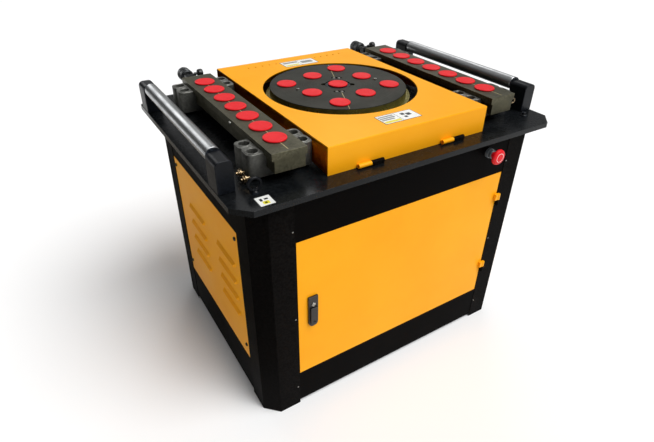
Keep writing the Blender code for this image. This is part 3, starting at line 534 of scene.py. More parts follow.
# Moulded red polyethylene: translucent-looking, satin.
RED_PLASTIC = Finish("moulded_polyethylene_red", Slot.RED, Pattern.MOULDED, "#E4141F", "#DC101B",
                     cloud_mm=40, grain_mm=0.9, bump_mm=0.01, rough=(0.40, 0.52), specular=0.25)
# Moulded black nylon.
BLACK_PLASTIC = Finish("moulded_nylon_black", Slot.PLASTIC, Pattern.MOULDED, "#0E0E0F", "#161617",
                       cloud_mm=20, grain_mm=0.8, bump_mm=0.02, rough=(0.30, 0.42))
# Fabric-backed rubber of the belt.
RUBBER = Finish("belt_rubber_black", Slot.RUBBER, Pattern.MOULDED, "#141415", "#1D1D1E",
                cloud_mm=15, grain_mm=1.0, bump_mm=0.08, rough=(0.65, 0.80))
# Grey machine enamel on the motor and the collar.
GREY_ENAMEL = Finish("machine_enamel_grey", Slot.GREY, Pattern.SPRAYED, "#6E7376", "#62676A",
                     cloud_mm=60, grain_mm=1.4, bump_mm=0.02, rough=(0.34, 0.46), metal=0.3)
# Paint rubbed into the scribed lines.
SCRIBED = Finish("scribed_line_beige", Slot.DARK, Pattern.MOULDED, "#C2B484", "#A99B6C", cloud_mm=8,
                 grain_mm=0.8, bump_mm=0.01, rough=(0.45, 0.60))
# Printed vinyl of the plain labels.
VINYL = {name: Finish(f"vinyl_{name}", slot, Pattern.MOULDED, first, second, cloud_mm=15,
                      grain_mm=1.0, bump_mm=0.004, rough=(0.30, 0.40))
         for name, slot, first, second in (
             ("white", Slot.GREY, "#F4F4F0", "#E9EAE6"), ("grey", Slot.GREY, "#8F918E", "#7F817E"),
             ("yellow", Slot.YELLOW, "#E8DC3A", "#DDCF30"), ("black", Slot.PLASTIC, "#16181A", "#202224"))}


# --- the bench's frame of reference -----------------------------------------------------------
TABLE = box_of("table_plate")
FRAME = box_of("cabinet_frame")
STANDING_GAP = 0.3 * MM      # between the table and what stands on it
TABLE_TOP = box_of("left_front_roller_bracket").low.z - STANDING_GAP


def at(x: float, y: float, up: float = 0.0) -> Triple:
    """A place by its distance from the table's middle and its height above the table."""
    return (TABLE.centre.x + x, TABLE.centre.y + y, TABLE_TOP + up)


@dataclass
class Assembly:
    """A group of pieces that ride on one CAD body."""

    body: str = "bench"

    def keep(self, piece: bpy.types.Object, finish: Finish, *nodes: str, smooth: float = 40.0,
             body: str | None = None) -> bpy.types.Object:
        """Shade, dress and hang a piece.

        Args:
            piece: the finished shape.
            finish: its surface.
            nodes: the CAD nodes that it stands for.
            smooth: edges flatter than this, in degrees, are shaded smooth.
            body: the CAD body, where it isn't the assembly's own.

        Returns:
            The same object.
        """
        select_only(piece)
        bpy.ops.object.shade_smooth_by_angle(angle=math.radians(smooth))
        evened = piece.modifiers.new("even", "WEIGHTED_NORMAL")
        evened.keep_sharp = True
        bpy.ops.object.modifier_apply(modifier=evened.name)
        piece.data.materials.clear()
        piece.data.materials.append(finish.material())
        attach(piece, body or self.body)
        if nodes:
            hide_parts(*nodes)
        LOG.info("%s: %d faces on %s", piece.name, len(piece.data.polygons), body or self.body)
        return piece

    def screw(self, name: str, place: Triple, axis: str, radius: float, finish: Finish,
              body: str | None = None) -> bpy.types.Object:
        """A round-headed screw with a hexagon socket, its head above a surface.

        Args:
            name: name of the new object.
            place: where the head meets the surface.
            axis: the way the head points.
            radius: radius of the head.
            finish: its surface.
            body: the CAD body, where it isn't the assembly's own.

        Returns:
            The new object.
        """
        high = radius * 0.7
        head = [(0, -0.4 * radius), (radius, -0.4 * radius), (radius, high * 0.55),
                (radius * 0.86, high * 0.9), (radius * 0.62, high), (radius * 0.5, high),
                (radius * 0.45, high * 0.3), (0, high * 0.25)]
        return self.keep(turned(name, head, place, axis, 24), finish, body=body)


# --- table and cabinet ------------------------------------------------------------------------
@dataclass
class Label(Assembly):
    """A plain vinyl label: a white field with blank blocks, and no lettering or sign."""

    name: str = "label"
    place: Triple = (0.0, 0.0, 0.0)
    width: float = 0.1
    depth: float = 0.05
    film: float = 0.25 * MM
    ink: float = 0.08 * MM
    blocks: tuple = ()

    def build(self) -> None:
        """Lay the field, then a layer of blocks for each colour."""
        x, y, z = self.place
        border = prism(self.name + "_border", rounded_box_outline(self.width, self.depth, 2 * MM),
                       0, self.film, (x, y, z))
        self.keep(border, VINYL["black"])
        inner = rounded_box_outline(self.width - 3.6 * MM, self.depth - 3.6 * MM, 1.2 * MM)
        field_plate = prism(self.name + "_field", inner, self.film * 0.5, self.film + self.ink,
                            (x, y, z))
        self.keep(field_plate, VINYL["white"])
        for colour in ("grey", "yellow", "black"):
            plates = []
            for ink, left, low, wide, tall in self.blocks:
                if ink != colour:
                    continue
                across, along = wide * self.width, tall * self.depth
                outline = rounded_box_outline(across, along, 0.15 * min(across, along), 2)
                middle = (x + (left + wide / 2 - 0.5) * self.width,
                          y + (low + tall / 2 - 0.5) * self.depth, z)
                plates.append(prism(f"{self.name}_{colour}", outline, self.film,
                                    self.film + 2 * self.ink, middle))
            if plates:
                self.keep(joined(f"{self.name}_{colour}", plates), VINYL[colour])


@dataclass
class Table(Assembly):
    """Thick plate with cut corners and the two screw lugs."""

    edge: float = 1.2 * MM
    foot_radius: float = 9 * MM

    def build(self) -> None:
        """Round the plate's edges and add the loose fittings on it."""
        self.keep(rounded(cad_copy("table_plate", "table_top"), self.edge), GLOSS_BLACK, "table_plate")
        foot = [(0, 0), (self.foot_radius, 0), (self.foot_radius, 3 * MM), (6 * MM, 5 * MM),
                (6 * MM, 10 * MM), (4.5 * MM, 11.5 * MM), (0, 11.5 * MM)]
        self.keep(turned("table_levelling_nut", foot, at(0.4417, -0.313), sides=24), BRACKET_BLACK)
        Label(name="table_label", place=at(-0.421, -0.3555), width=0.038, depth=0.041, blocks=(
            ("yellow", 0.30, 0.16, 0.40, 0.30), ("black", 0.24, 0.50, 0.16, 0.26),
            ("black", 0.52, 0.58, 0.24, 0.14), ("black", 0.42, 0.24, 0.14, 0.14))).build()


@dataclass
class Cabinet(Assembly):
    """Black frame of folded posts and rails, with yellow side and rear panels."""

    edge: float = 1.0 * MM
    skin: float = 1.2 * MM
    flange: float = 0.065
    chamfer: float = 0.038
    side_reach: float = 0.2455

    def build(self) -> None:
        """Build the frame, its corner skins and its panels."""
        self.keep(rounded(cad_copy("cabinet_frame", "cabinet_rails"), self.edge), SATIN_BLACK,
                  "cabinet_frame")
        self.keep(rounded(cad_copy("base_tray", "cabinet_floor"), 0.6 * MM), SATIN_BLACK, "base_tray")
        self.posts()
        self.panel("left", -1)
        self.panel("right", 1)
        self.rear()

    def posts(self) -> None:
        """A folded skin round each corner, a little proud of the rails, with its rivets."""
        x = -self.half_width()
        y = TABLE.centre.y - self.half_depth()
        out = self.skin
        lean = out * (math.sqrt(2) - 1)
        inner = 0.4 * MM
        end = TABLE.centre.y - self.side_reach
        outline = [(x + self.chamfer + self.flange, y + inner),
                   (x + self.chamfer + self.flange, y - out), (x + self.chamfer - lean, y - out),
                   (x - out, y + self.chamfer - lean), (x - out, end), (x + inner, end),
                   (x + inner, y + self.chamfer + inner * 0.4), (x + self.chamfer + inner * 0.4, y + inner)]
        base = rounded(prism("cabinet_post", outline, 0.0, FRAME.high.z - 0.2 * MM), 0.5 * MM)
        for name, flip_x, flip_y in (("front_left", 1, 1), ("front_right", -1, 1),
                                     ("rear_left", 1, -1), ("rear_right", -1, -1)):
            post = copied(base, f"cabinet_post_{name}", (0, 0, 0))
            edit(post)
            bpy.ops.transform.resize(value=(flip_x, flip_y, 1),
                                     center_override=(TABLE.centre.x, TABLE.centre.y, 0))
            leave_edit()
            self.keep(post, SATIN_BLACK)
        bpy.data.objects.remove(base, do_unlink=True)
        rivet_y = y - out
        for side in (-1, 1):
            for index, z in enumerate((0.075, 0.348, 0.628)):
                head = [(0, -0.5 * MM), (2 * MM, -0.5 * MM), (2 * MM, 0.3 * MM), (1.2 * MM, 0.9 * MM),
                        (0, 1.1 * MM)]
                where = (side * (-x - self.chamfer - self.flange + 6 * MM), rivet_y, z)
                self.keep(turned(f"cabinet_rivet_{'left' if side < 0 else 'right'}_{index}", head,
                                 where, "-Y", 16), TURNED_STEEL)

    def half_width(self) -> float:
        """Half of the cabinet's width."""
        return (box_of("right_louvre_panel").low.x - box_of("left_louvre_panel").high.x) / 2 + 2 * MM

    def half_depth(self) -> float:
        """Half of the cabinet's depth, the rear panel's face being flush with the frame."""
        return box_of("rear_panel").high.y - TABLE.centre.y

    def panel(self, side: str, sign: int) -> None:
        """A louvred side panel and its corner screws.

        Args:
            side: "left" or "right".
            sign: -1 or 1, the way it faces along X.
        """
        node = f"{side}_louvre_panel"
        self.keep(rounded(cad_copy(node, f"{side}_panel"), 0.7 * MM), AMBER, node, smooth=50)
        face = sign * self.half_width()
        box = box_of(node)
        corners = [(y, z) for y in (box.low.y + 15 * MM, box.high.y - 15 * MM)
                   for z in (box.low.z + 45 * MM, box.high.z - 24 * MM)]
        for index, (y, z) in enumerate(corners):
            self.screw(f"{side}_panel_screw_{index}", (face, y, z), "X" if sign > 0 else "-X",
                       5.5 * MM, BLACK_OXIDE)

    def rear(self) -> None:
        """The plain rear panel with six screws."""
        box = box_of("rear_panel")
        self.keep(rounded(cad_copy("rear_panel", "rear_skin"), 0.7 * MM), AMBER, "rear_panel")
        for column, x in enumerate((box.low.x + 15 * MM, 0.0, box.high.x - 15 * MM)):
            for row, z in enumerate((box.low.z + 20 * MM, box.high.z - 20 * MM)):
                self.screw(f"rear_screw_{column}_{row}", (x, box.high.y, z), "Y", 5.5 * MM,
                           BLACK_OXIDE)


@dataclass
class Door(Assembly):
    """Front door with its hinge halves and its lock."""

    body: str = "door"
    lock_edge: float = 1.0 * MM

    def build(self) -> None:
        """Build the door skin and the lock."""
        self.keep(rounded(cad_copy("door_panel", "door_skin"), 1.0 * MM), AMBER, "door_panel",
                  smooth=45)
        self.lock()

    def lock(self) -> None:
        """Housing plate with a key cylinder, and the lifting paddle on it."""
        box = box_of("door_lock_housing")
        radius = box.size.x / 2
        outline = [(radius, box.size.z - radius), (-radius, box.size.z - radius)] + arc(
            (0, 0), radius, 180, 360, 24)
        plate = prism("lock_plate", outline, 0, box.size.y,
                      (box.centre.x, box.high.y, box.low.z + radius), (QUARTER, 0, 0))
        self.keep(rounded(plate, self.lock_edge, 3), BLACK_PLASTIC, "door_lock_housing")
        key = [(0, -MM), (6 * MM, -MM), (6 * MM, 1.2 * MM), (5.2 * MM, 2 * MM), (4.2 * MM, 2 * MM),
               (4.0 * MM, 1.4 * MM), (0, 1.4 * MM)]
        spot = (box.centre.x, box.low.y, box.high.z - 26 * MM)
        cylinder = turned("lock_cylinder", key, spot, "-Y", 32)
        slit = block("slit", (spot[0] - 0.6 * MM, spot[1] - 4 * MM, spot[2] - 3 * MM),
                     (spot[0] + 0.6 * MM, spot[1] + 0.2 * MM, spot[2] + 3 * MM))
        self.keep(carve(cylinder, slit), TURNED_STEEL)
        paddle = box_of("door_lock_paddle")
        radius = paddle.size.x / 2
        outline = [(radius, paddle.size.z - radius), (-radius, paddle.size.z - radius)] + arc(
            (0, 0), radius, 180, 360, 24)
        lever = prism("lock_paddle", outline, 0, paddle.size.y,
                      (paddle.centre.x, paddle.high.y, paddle.low.z + radius), (QUARTER, 0, 0))
        thumb = turned("thumb", [(0, -6 * MM), (3.2 * MM, -4 * MM), (6.0 * MM, 0), (3.2 * MM, 4 * MM),
                                 (0, 6 * MM)],
                       (paddle.centre.x, paddle.low.y - 3.2 * MM, paddle.low.z + 14 * MM), "Z", 32)
        self.keep(carve(rounded(lever, 1.3 * MM, 3), thumb), BLACK_PLASTIC, "door_lock_paddle",
                  body="door_lock")


@dataclass
class EmergencyStop(Assembly):
    """Red mushroom button on a grey collar."""

    body: str = "stop_button"

    def build(self) -> None:
        """Build the collar on the cabinet and the button in it."""
        collar = box_of("estop_collar")
        base = (collar.centre.x, collar.high.y, collar.centre.z)
        radius, length = collar.size.x / 2, collar.size.y
        bore = 8.5 * MM
        ring = [(bore, 0), (bore, length), (radius * 0.80, length), (radius * 0.86, length - MM),
                (radius * 0.86, 9 * MM), (radius * 0.97, 8.4 * MM), (radius * 0.97, 4 * MM),
                (radius, 3.4 * MM), (radius, 0)]
        self.keep(turned("stop_collar", ring, base, "-Y", 48, closed=True), GREY_ENAMEL,
                  "estop_collar", body="bench")
        button = box_of("estop_button")
        big = button.size.x / 2
        reach = base[1] - button.low.y
        head = [(0, length / 2), (7.6 * MM, length / 2), (7.6 * MM, reach - 13 * MM),
                (big * 0.80, reach - 12.4 * MM), (big * 0.97, reach - 11 * MM),
                (big, reach - 9 * MM), (big, reach - 7 * MM), (big * 0.97, reach - 4.4 * MM),
                (big * 0.90, reach - 2.4 * MM), (big * 0.78, reach - 1.1 * MM),
                (big * 0.6, reach - 0.45 * MM), (big * 0.3, reach - 0.1 * MM), (0, reach)]
        self.keep(turned("stop_button", head, base, "-Y", 64), RED_PLASTIC, "estop_button", smooth=60)
        mark = [(big * 0.52, reach - 1.2 * MM), (big * 0.52, reach - 0.24 * MM),
                (big * 0.57, reach - 0.30 * MM), (big * 0.57, reach - 1.2 * MM)]
        self.keep(turned("stop_ring_mark", mark, base, "-Y", 64, closed=True), VINYL["white"])


# --- turntable and cover ----------------------------------------------------------------------
@dataclass
class Turntable(Assembly):
    """Turntable disc with its key slots, collar, scribed line, plugs and angle ring."""

    body: str = "disc"
    socket_radius: float = 25 * MM
    rim: float = 22 * MM
    step_radius: float = 0.185
    row_angle: float = 59.4
    line_angle: float = 66.4
    slot_radius: float = 0.060
    screw_radius: float = 0.1245
    hole_count: int = 96

    def build(self) -> None:
        """Build the disc, then what lies in and on it."""
        self.disc()
        self.collar()
        self.slots()
        self.ring()
        for index in range(9):
            Plug(body=self.body, node=f"disc_plug_{index + 1}").build()

    def spot(self, radius: float, angle: float, up: float = 0.0) -> Triple:
        """A place on the disc by radius, angle in degrees and height above its face."""
        box = box_of("turntable_disc")
        turn = math.radians(angle)
        return (box.centre.x + radius * math.cos(turn), box.centre.y + radius * math.sin(turn),
                box.high.z + up)

    def disc(self) -> None:
        """The faced disc: sockets, slots and the recess round the middle socket are cut in it."""
        box = box_of("turntable_disc")
        radius = box.size.x / 2
        thick = box.size.z
        edge = 1.4 * MM
        profile = [(0, 0), (radius - edge, 0), (radius - edge * 0.4, -edge * 0.25), (radius, -edge),
                   (radius, -1.9 * MM), (radius - 0.4 * MM, -2.1 * MM),
                   (radius - 0.4 * MM, -self.rim + 0.8 * MM), (radius - 1.2 * MM, -self.rim),
                   (self.step_radius, -self.rim), (self.step_radius, -thick), (0, -thick)]
        disc = turned("disc_plate", profile, self.spot(0, 0), sides=160)
        tools = []
        for index in range(9):
            middle = box_of(f"disc_plug_{index + 1}").centre
            tools.append(prism("socket", ring_of((middle.x, middle.y), self.socket_radius, 64),
                               box.low.z - 5 * MM, box.high.z + 5 * MM))
        disc = carve(disc, joined("sockets", tools))
        shallow = []
        for side in (0, 180):
            angle = self.row_angle + side
            shallow.append(prism("slot", rounded_box_outline(11 * MM, 33 * MM, 5.4 * MM), -5 * MM, 5 * MM,
                                 self.spot(self.slot_radius, angle + 2), (0, 0, math.radians(angle + 2))))
            shallow.append(prism("notch", ring_of((0, 0), 9 * MM, 32), -4 * MM, 5 * MM,
                                 self.spot(41 * MM, angle + 90)))
        shallow.append(turned("recess", [(0, -4 * MM), (39 * MM, -4 * MM), (39 * MM, 5 * MM), (0, 5 * MM)],
                              self.spot(0, 0), sides=96))
        for tool in shallow:
            disc = carve(disc, tool)
        for angle, near, far in ((self.line_angle, 69 * MM, 0.196), (self.line_angle + 180, 69 * MM, 0.196)):
            length = far - near
            line = prism("line", rounded_box_outline(length, 1.5 * MM, 0.6 * MM), -0.5 * MM, 2 * MM,
                         self.spot((near + far) / 2, angle), (0, 0, math.radians(angle)))
            disc = carve(disc, line)
            paint = prism(f"disc_line_{round(angle)}", rounded_box_outline(length, 1.7 * MM, 0.6 * MM),
                          -1.2 * MM, -0.1 * MM, self.spot((near + far) / 2, angle),
                          (0, 0, math.radians(angle)))
            self.keep(paint, SCRIBED)
        self.keep(disc, DISC_STEEL, "turntable_disc", smooth=12)
        # Rim band round the disc's edge: its bright yellow olive colour is a painted reflection of the
        # yellow cover round the disc.
        band = [(radius - 2 * MM, -2 * MM), (radius - 0.2 * MM, -2 * MM), (radius, -2.3 * MM),
                (radius, -self.rim + 1.2 * MM), (radius - 0.3 * MM, -self.rim + 0.9 * MM),
                (radius - 2 * MM, -self.rim + 0.9 * MM)]
        self.keep(turned("disc_rim", band, self.spot(0, 0), sides=160, closed=True), RING_STEEL_AND_RIM_REFLECTION)

    def collar(self) -> None:
        """The hardened ring sunk round the middle socket."""
        bore = self.socket_radius + 0.4 * MM
        ring = [(bore, -3.9 * MM), (bore, -1.4 * MM), (bore + MM, -0.8 * MM), (36 * MM, -0.8 * MM),
                (37 * MM, -1.4 * MM), (37 * MM, -3.9 * MM)]
        self.keep(turned("disc_collar", ring, self.spot(0, 0), sides=96, closed=True), BLUED_STEEL)

    def slots(self) -> None:
        """A key and two screws in each slot, and two cap screws further out."""
        for number, side in enumerate((2, 182)):
            angle = self.row_angle + side
            turn = (0, 0, math.radians(angle))
            key = prism(f"disc_key_{number}", rounded_box_outline(9.6 * MM, 31 * MM, 4.7 * MM),
                        -4.9 * MM, -2.2 * MM, self.spot(self.slot_radius, angle), turn)
            self.keep(rounded(key, 0.5 * MM), BLUED_STEEL)
            for place in (-1, 1):
                x, y, z = self.spot(self.slot_radius, angle, -2.2 * MM)
                step = place * 7.5 * MM
                self.screw(f"disc_key_screw_{number}_{'a' if place < 0 else 'b'}",
                           (x - step * math.sin(turn[2]), y + step * math.cos(turn[2]), z), "Z",
                           4.4 * MM, TURNED_STEEL)
        for number, angle in enumerate((171.0, -8.0)):
            self.screw(f"disc_cap_screw_{number}", self.spot(self.screw_radius, angle), "Z", 5.4 * MM,
                       TURNED_STEEL)

    def ring(self) -> None:
        """The angle ring below the rim, with its row of small stop holes."""
        box = box_of("angle_ring")
        outer, inner = box.size.x / 2, self.step_radius + 0.3 * MM
        x, y, z = box.centre.x, box.centre.y, box.high.z
        thick = box.size.z
        profile = [(inner, -thick), (inner, 0), (outer - 0.8 * MM, 0), (outer, -0.8 * MM), (outer, -thick)]
        plate = turned("angle_plate", profile, (x, y, z), sides=160, closed=True)
        holes = []
        for index in range(self.hole_count):
            turn = FULL_TURN * index / self.hole_count
            middle = (x + (outer - 5 * MM) * math.cos(turn), y + (outer - 5 * MM) * math.sin(turn))
            holes.append(prism("hole", ring_of(middle, 1.7 * MM, 8), z - 3 * MM, z + MM))
        self.keep(carve(plate, joined("holes", holes)), RING_STEEL_AND_RIM_REFLECTION, "angle_ring")


@dataclass
class Plug(Assembly):
    """A red plug in a pin socket: a flat cap with a raised rim, on a short skirt."""

    node: str = ""
    cap: float = 4 * MM
    skirt_radius: float = 24.6 * MM
    skirt: float = 12 * MM

    def build(self) -> None:
        """Turn the plug at its node's place."""
        box = box_of(self.node)
        radius = box.size.y / 2 if box.size.y > box.size.x else box.size.x / 2
        profile = [(0, self.cap - 0.5 * MM), (radius * 0.80, self.cap - 0.5 * MM),
                   (radius * 0.87, self.cap), (radius * 0.95, self.cap - 0.1 * MM),
                   (radius * 0.99, self.cap - 0.9 * MM), (radius, self.cap - 2.0 * MM),
                   (radius, 0.9 * MM), (radius * 0.985, 0.35 * MM), (self.skirt_radius, 0.35 * MM),
                   (self.skirt_radius, -self.skirt + MM), (self.skirt_radius - MM, -self.skirt),
                   (0, -self.skirt)]
        place = (box.centre.x, box.centre.y, box.high.z - self.cap)
        self.keep(turned(self.node.replace("_plug_", "_cap_"), profile, place), RED_PLASTIC, self.node,
                  smooth=50)


@dataclass
class Cover(Assembly):
    """Folded sheet cover over the turntable, and its two hinges."""

    body: str = "cover"
    fold: float = 2.6 * MM

    def build(self) -> None:
        """Round the folds, then add the hinge halves, the labels and the drilled row."""
        shell = cad_copy("cover_sheet", "cover_shell")
        top = box_of("cover_sheet").high.z
        edit(shell)
        bpy.ops.mesh.select_all(action="DESELECT")
        bpy.ops.object.mode_set(mode="OBJECT")
        width = box_of("cover_sheet").size.x / 2
        for line in shell.data.edges:
            ends = [shell.data.vertices[i].co for i in line.vertices]
            line.select = all(abs(e.z - top) < 0.05 * MM for e in ends) and (
                self.on_one_side(ends, width))
        bpy.ops.object.mode_set(mode="EDIT")
        bpy.ops.mesh.select_mode(type="EDGE")
        bpy.ops.mesh.bevel(offset=self.fold, segments=4, affect="EDGES")
        leave_edit()
        dots = []
        for index in range(15):
            x, y, _ = at(-0.162 + index * 0.0244, 0.289)
            dots.append(prism("dot", ring_of((x, y), 3.4 * MM, 12), top - 5 * MM, top + 2 * MM))
        shell = carve(shell, joined("dots", dots))
        self.keep(rounded(shell, 0.5 * MM, 2, 50), AMBER, "cover_sheet", smooth=35)
        for side in ("left", "right"):
            node = f"{side}_cover_hinge"
            self.keep(rounded(cad_copy(node, f"{side}_hinge_knuckle"), 0.5 * MM), SATIN_BLACK, node,
                      body="bench")
        place = Vector(at(-0.0025, -0.2715))
        place.z = top
        Label(body=self.body, name="front_label", place=tuple(place), width=0.115, depth=0.053, blocks=(
            ("grey", 0.04, 0.74, 0.40, 0.12), ("grey", 0.04, 0.56, 0.40, 0.12),
            ("grey", 0.04, 0.38, 0.34, 0.12), ("yellow", 0.03, 0.08, 0.44, 0.20),
            ("black", 0.492, 0.05, 0.010, 0.90), ("black", 0.62, 0.56, 0.10, 0.22),
            ("black", 0.74, 0.42, 0.12, 0.26), ("black", 0.62, 0.24, 0.08, 0.18))).build()
        place = Vector(at(0.008, 0.2635))
        place.z = top
        Label(body=self.body, name="rear_label", place=tuple(place), width=0.121, depth=0.053, blocks=(
            ("grey", 0.06, 0.60, 0.42, 0.22), ("yellow", 0.04, 0.12, 0.40, 0.20),
            ("grey", 0.56, 0.30, 0.34, 0.40), ("black", 0.492, 0.05, 0.008, 0.90))).build()

    @staticmethod
    def on_one_side(ends: list[Vector], width: float) -> bool:
        """Whether both ends of a line lie on the same outer side of the cover."""
        front = TABLE.centre.y - 0.333
        back = TABLE.centre.y + 0.337
        return (all(abs(abs(e.x) - width) < 0.1 * MM for e in ends)
                or all(abs(e.y - front) < 0.1 * MM for e in ends)
                or all(abs(e.y - back) < 0.1 * MM for e in ends))


# --- socket bars, blocks and screws -----------------------------------------------------------
@dataclass
class SocketBar(Assembly):
    """One socket bar with its seven plugs, scribed line and fittings."""

    side: str = "left"
    edge: float = 0.9 * MM
    line_width: float = 1.6 * MM

    def build(self) -> None:
        """Build the bar and what sits on it."""
        self.body = f"{self.side}_bar"
        node = f"{self.side}_socket_bar"
        box = box_of(node)
        plugs = [box_of(f"{self.side}_bar_plug_{i + 1}") for i in range(7)]
        self.keep(rounded(cad_copy(node, f"{self.side}_bar"), self.edge), BAR_STEEL, node)
        marks = []
        ends = [p.low.y for p in plugs[1:]] + [plugs[-1].high.y + 12 * MM]
        starts = [p.high.y for p in plugs]
        gaps = [(box.low.y + 8 * MM, plugs[0].low.y)] + list(zip(starts, ends))
        for start, end in gaps:
            outline = rounded_box_outline(self.line_width, end - start, 0.4 * MM, 2)
            marks.append(prism("mark", outline, -0.6 * MM, 0.06 * MM,
                               (box.centre.x, (start + end) / 2, box.high.z)))
        self.keep(joined(f"{self.side}_bar_line", marks), SCRIBED)
        for index in range(7):
            Plug(body=self.body, node=f"{self.side}_bar_plug_{index + 1}").build()
        if self.side == "left":
            self.screw("left_bar_grub_screw", (box.low.x, TABLE.centre.y - 0.085, TABLE_TOP + 0.069),
                       "-X", 5 * MM, TURNED_STEEL)
        else:
            self.eye_bolt(box)

    def eye_bolt(self, box: Box) -> None:
        """The brass-coloured ring screw at the right bar's outer front corner."""
        place = (box.high.x + 11 * MM, box.low.y + 10 * MM, TABLE_TOP + 0.052)
        bpy.ops.object.select_all(action="DESELECT")
        bpy.ops.mesh.primitive_torus_add(major_radius=7 * MM, minor_radius=1.9 * MM, major_segments=40,
                                         minor_segments=14, location=place,
                                         rotation=(QUARTER, 0, 0))
        ring = put(bpy.context.object)
        shank = turned("shank", [(0, -12 * MM), (1.8 * MM, -12 * MM), (1.8 * MM, 4.6 * MM), (0, 4.6 * MM)],
                       (box.high.x, place[1], place[2]), "X", 20)
        ring.name = "right_bar_ring_screw"
        self.keep(carve(ring, shank, "UNION"), ZINC)


@dataclass
class CrossBlock(Assembly):
    """One cast cross block with machined rings round its four pin sockets."""

    side: str = "left"
    end: str = "front"
    pin_x: float = 63 * MM
    pin_y: float = 22.5 * MM
    pin_radius: float = 14.5 * MM
    foot: float = 7.5 * MM

    def build(self) -> None:
        """Build the casting and its sleeves, and the bolts where they show."""
        node = f"{self.side}_{self.end}_block"
        box = box_of(node)
        self.keep(self.casting(box), CAST_STEEL, node, smooth=60)
        low = -46 * MM
        sleeve = [(self.pin_radius - 1.6 * MM, low), (self.pin_radius - 1.6 * MM, 0.2 * MM),
                  (self.pin_radius - 0.8 * MM, 1.0 * MM), (self.pin_radius + 1.6 * MM, 1.0 * MM),
                  (self.pin_radius + 2.2 * MM, 0.4 * MM), (self.pin_radius + 2.2 * MM, -0.6 * MM),
                  (self.pin_radius + 0.02 * MM, -0.6 * MM), (self.pin_radius + 0.02 * MM, low)]
        first = None
        for index, (x, y) in enumerate(((-1, -1), (-1, 1), (1, -1), (1, 1))):
            place = (box.centre.x + x * self.pin_x, box.centre.y + y * self.pin_y, box.high.z)
            name = f"{self.side}_{self.end}_sleeve_{index}"
            if first is None:
                piece = turned(name, sleeve, place, sides=48, closed=True)
                first = (piece, place)
            else:
                piece = copied(first[0], name, tuple(b - a for a, b in zip(first[1], place)))
            self.keep(piece, CAST_STEEL)
        floors = [turned("floor", [(0, low), (self.pin_radius - 1.7 * MM, low),
                                   (self.pin_radius - 1.7 * MM, low + MM), (0, low + MM)],
                         (box.centre.x + x * self.pin_x, box.centre.y + y * self.pin_y, box.high.z),
                         sides=24) for x in (-1, 1) for y in (-1, 1)]
        self.keep(joined(f"{self.side}_{self.end}_socket_floors", floors), BLACK_OXIDE)
        if (self.side, self.end) == ("left", "front"):
            self.bolts(box)

    def casting(self, box: Box) -> bpy.types.Object:
        """The casting: flat faces, a shallow groove at each end, a channel for the bar, two pads.

        Args:
            box: the block's box.

        Returns:
            The new object.
        """
        x, y = box.centre.x, box.centre.y
        wide, deep, corner = box.size.x / 2 - 0.1 * MM, box.size.y / 2 - 0.1 * MM, 13 * MM
        groove = 3.5 * MM
        quarter = arc((wide - corner, deep - corner), corner, 90, 0, 6)
        half = quarter + [(wide, 9 * MM), (wide - groove, 2 * MM)]
        right = half + [(a, -b) for a, b in reversed(half)]
        outline = right + [(-a, -b) for a, b in right]
        outline.reverse()
        name = f"{self.side}_{self.end}_casting"
        piece = rounded(prism(name, outline, TABLE_TOP + self.foot, box.high.z, (x, y, 0)), 1.6 * MM, 3)
        pins = [prism("pin", ring_of((x + a * self.pin_x, y + b * self.pin_y), self.pin_radius, 48),
                      TABLE_TOP, box.high.z + MM) for a in (-1, 1) for b in (-1, 1)]
        piece = carve(piece, joined("pins", pins))
        bar = box_of(f"{self.side}_socket_bar")
        for half_width, low in ((bar.size.x / 2 + 0.3 * MM, bar.high.z - 19.3 * MM),
                                (39.3 * MM, bar.low.z - 0.3 * MM)):
            piece = carve(piece, block("channel", (x - half_width, y - 0.1, low),
                                       (x + half_width, y + 0.1, box.high.z + 10 * MM)))
        for side in (-1, 1):
            pad = turned("pad", [(0, 0.3 * MM), (20 * MM, 0.3 * MM), (20 * MM, self.foot + 2 * MM),
                                 (0, self.foot + 2 * MM)], (x + side * 26 * MM, y, TABLE_TOP), sides=48)
            piece = carve(piece, pad, "UNION")
        return piece

    def bolts(self, box: Box) -> None:
        """Two zinc-plated hexagon bolts that clamp the block's outer foot."""
        for index, (y, up, lean) in enumerate(((-0.267, 0.0125, 8), (-0.2445, 0.017, -6))):
            x, y, z = at(-0.4235, y, up)
            flat = ring_of((0, 0), 9 * MM, 6)
            head = rounded(prism("bolt", flat, 5 * MM, 10 * MM), 0.7 * MM)
            washer = turned("washer", [(0, 3.2 * MM), (11 * MM, 3.2 * MM), (11 * MM, 5 * MM),
                                       (0, 5 * MM)], (0, 0, 0), sides=32)
            shank = turned("stud", [(0, -12 * MM), (4 * MM, -12 * MM), (4 * MM, 14 * MM),
                                    (3 * MM, 15 * MM), (0, 15 * MM)], (0, 0, 0), sides=24)
            bolt = joined(f"block_bolt_{index}", [carve(carve(head, washer, "UNION"), shank, "UNION")])
            self.keep(put(bolt, (x, y, z), (0, -QUARTER, math.radians(lean))), ZINC)


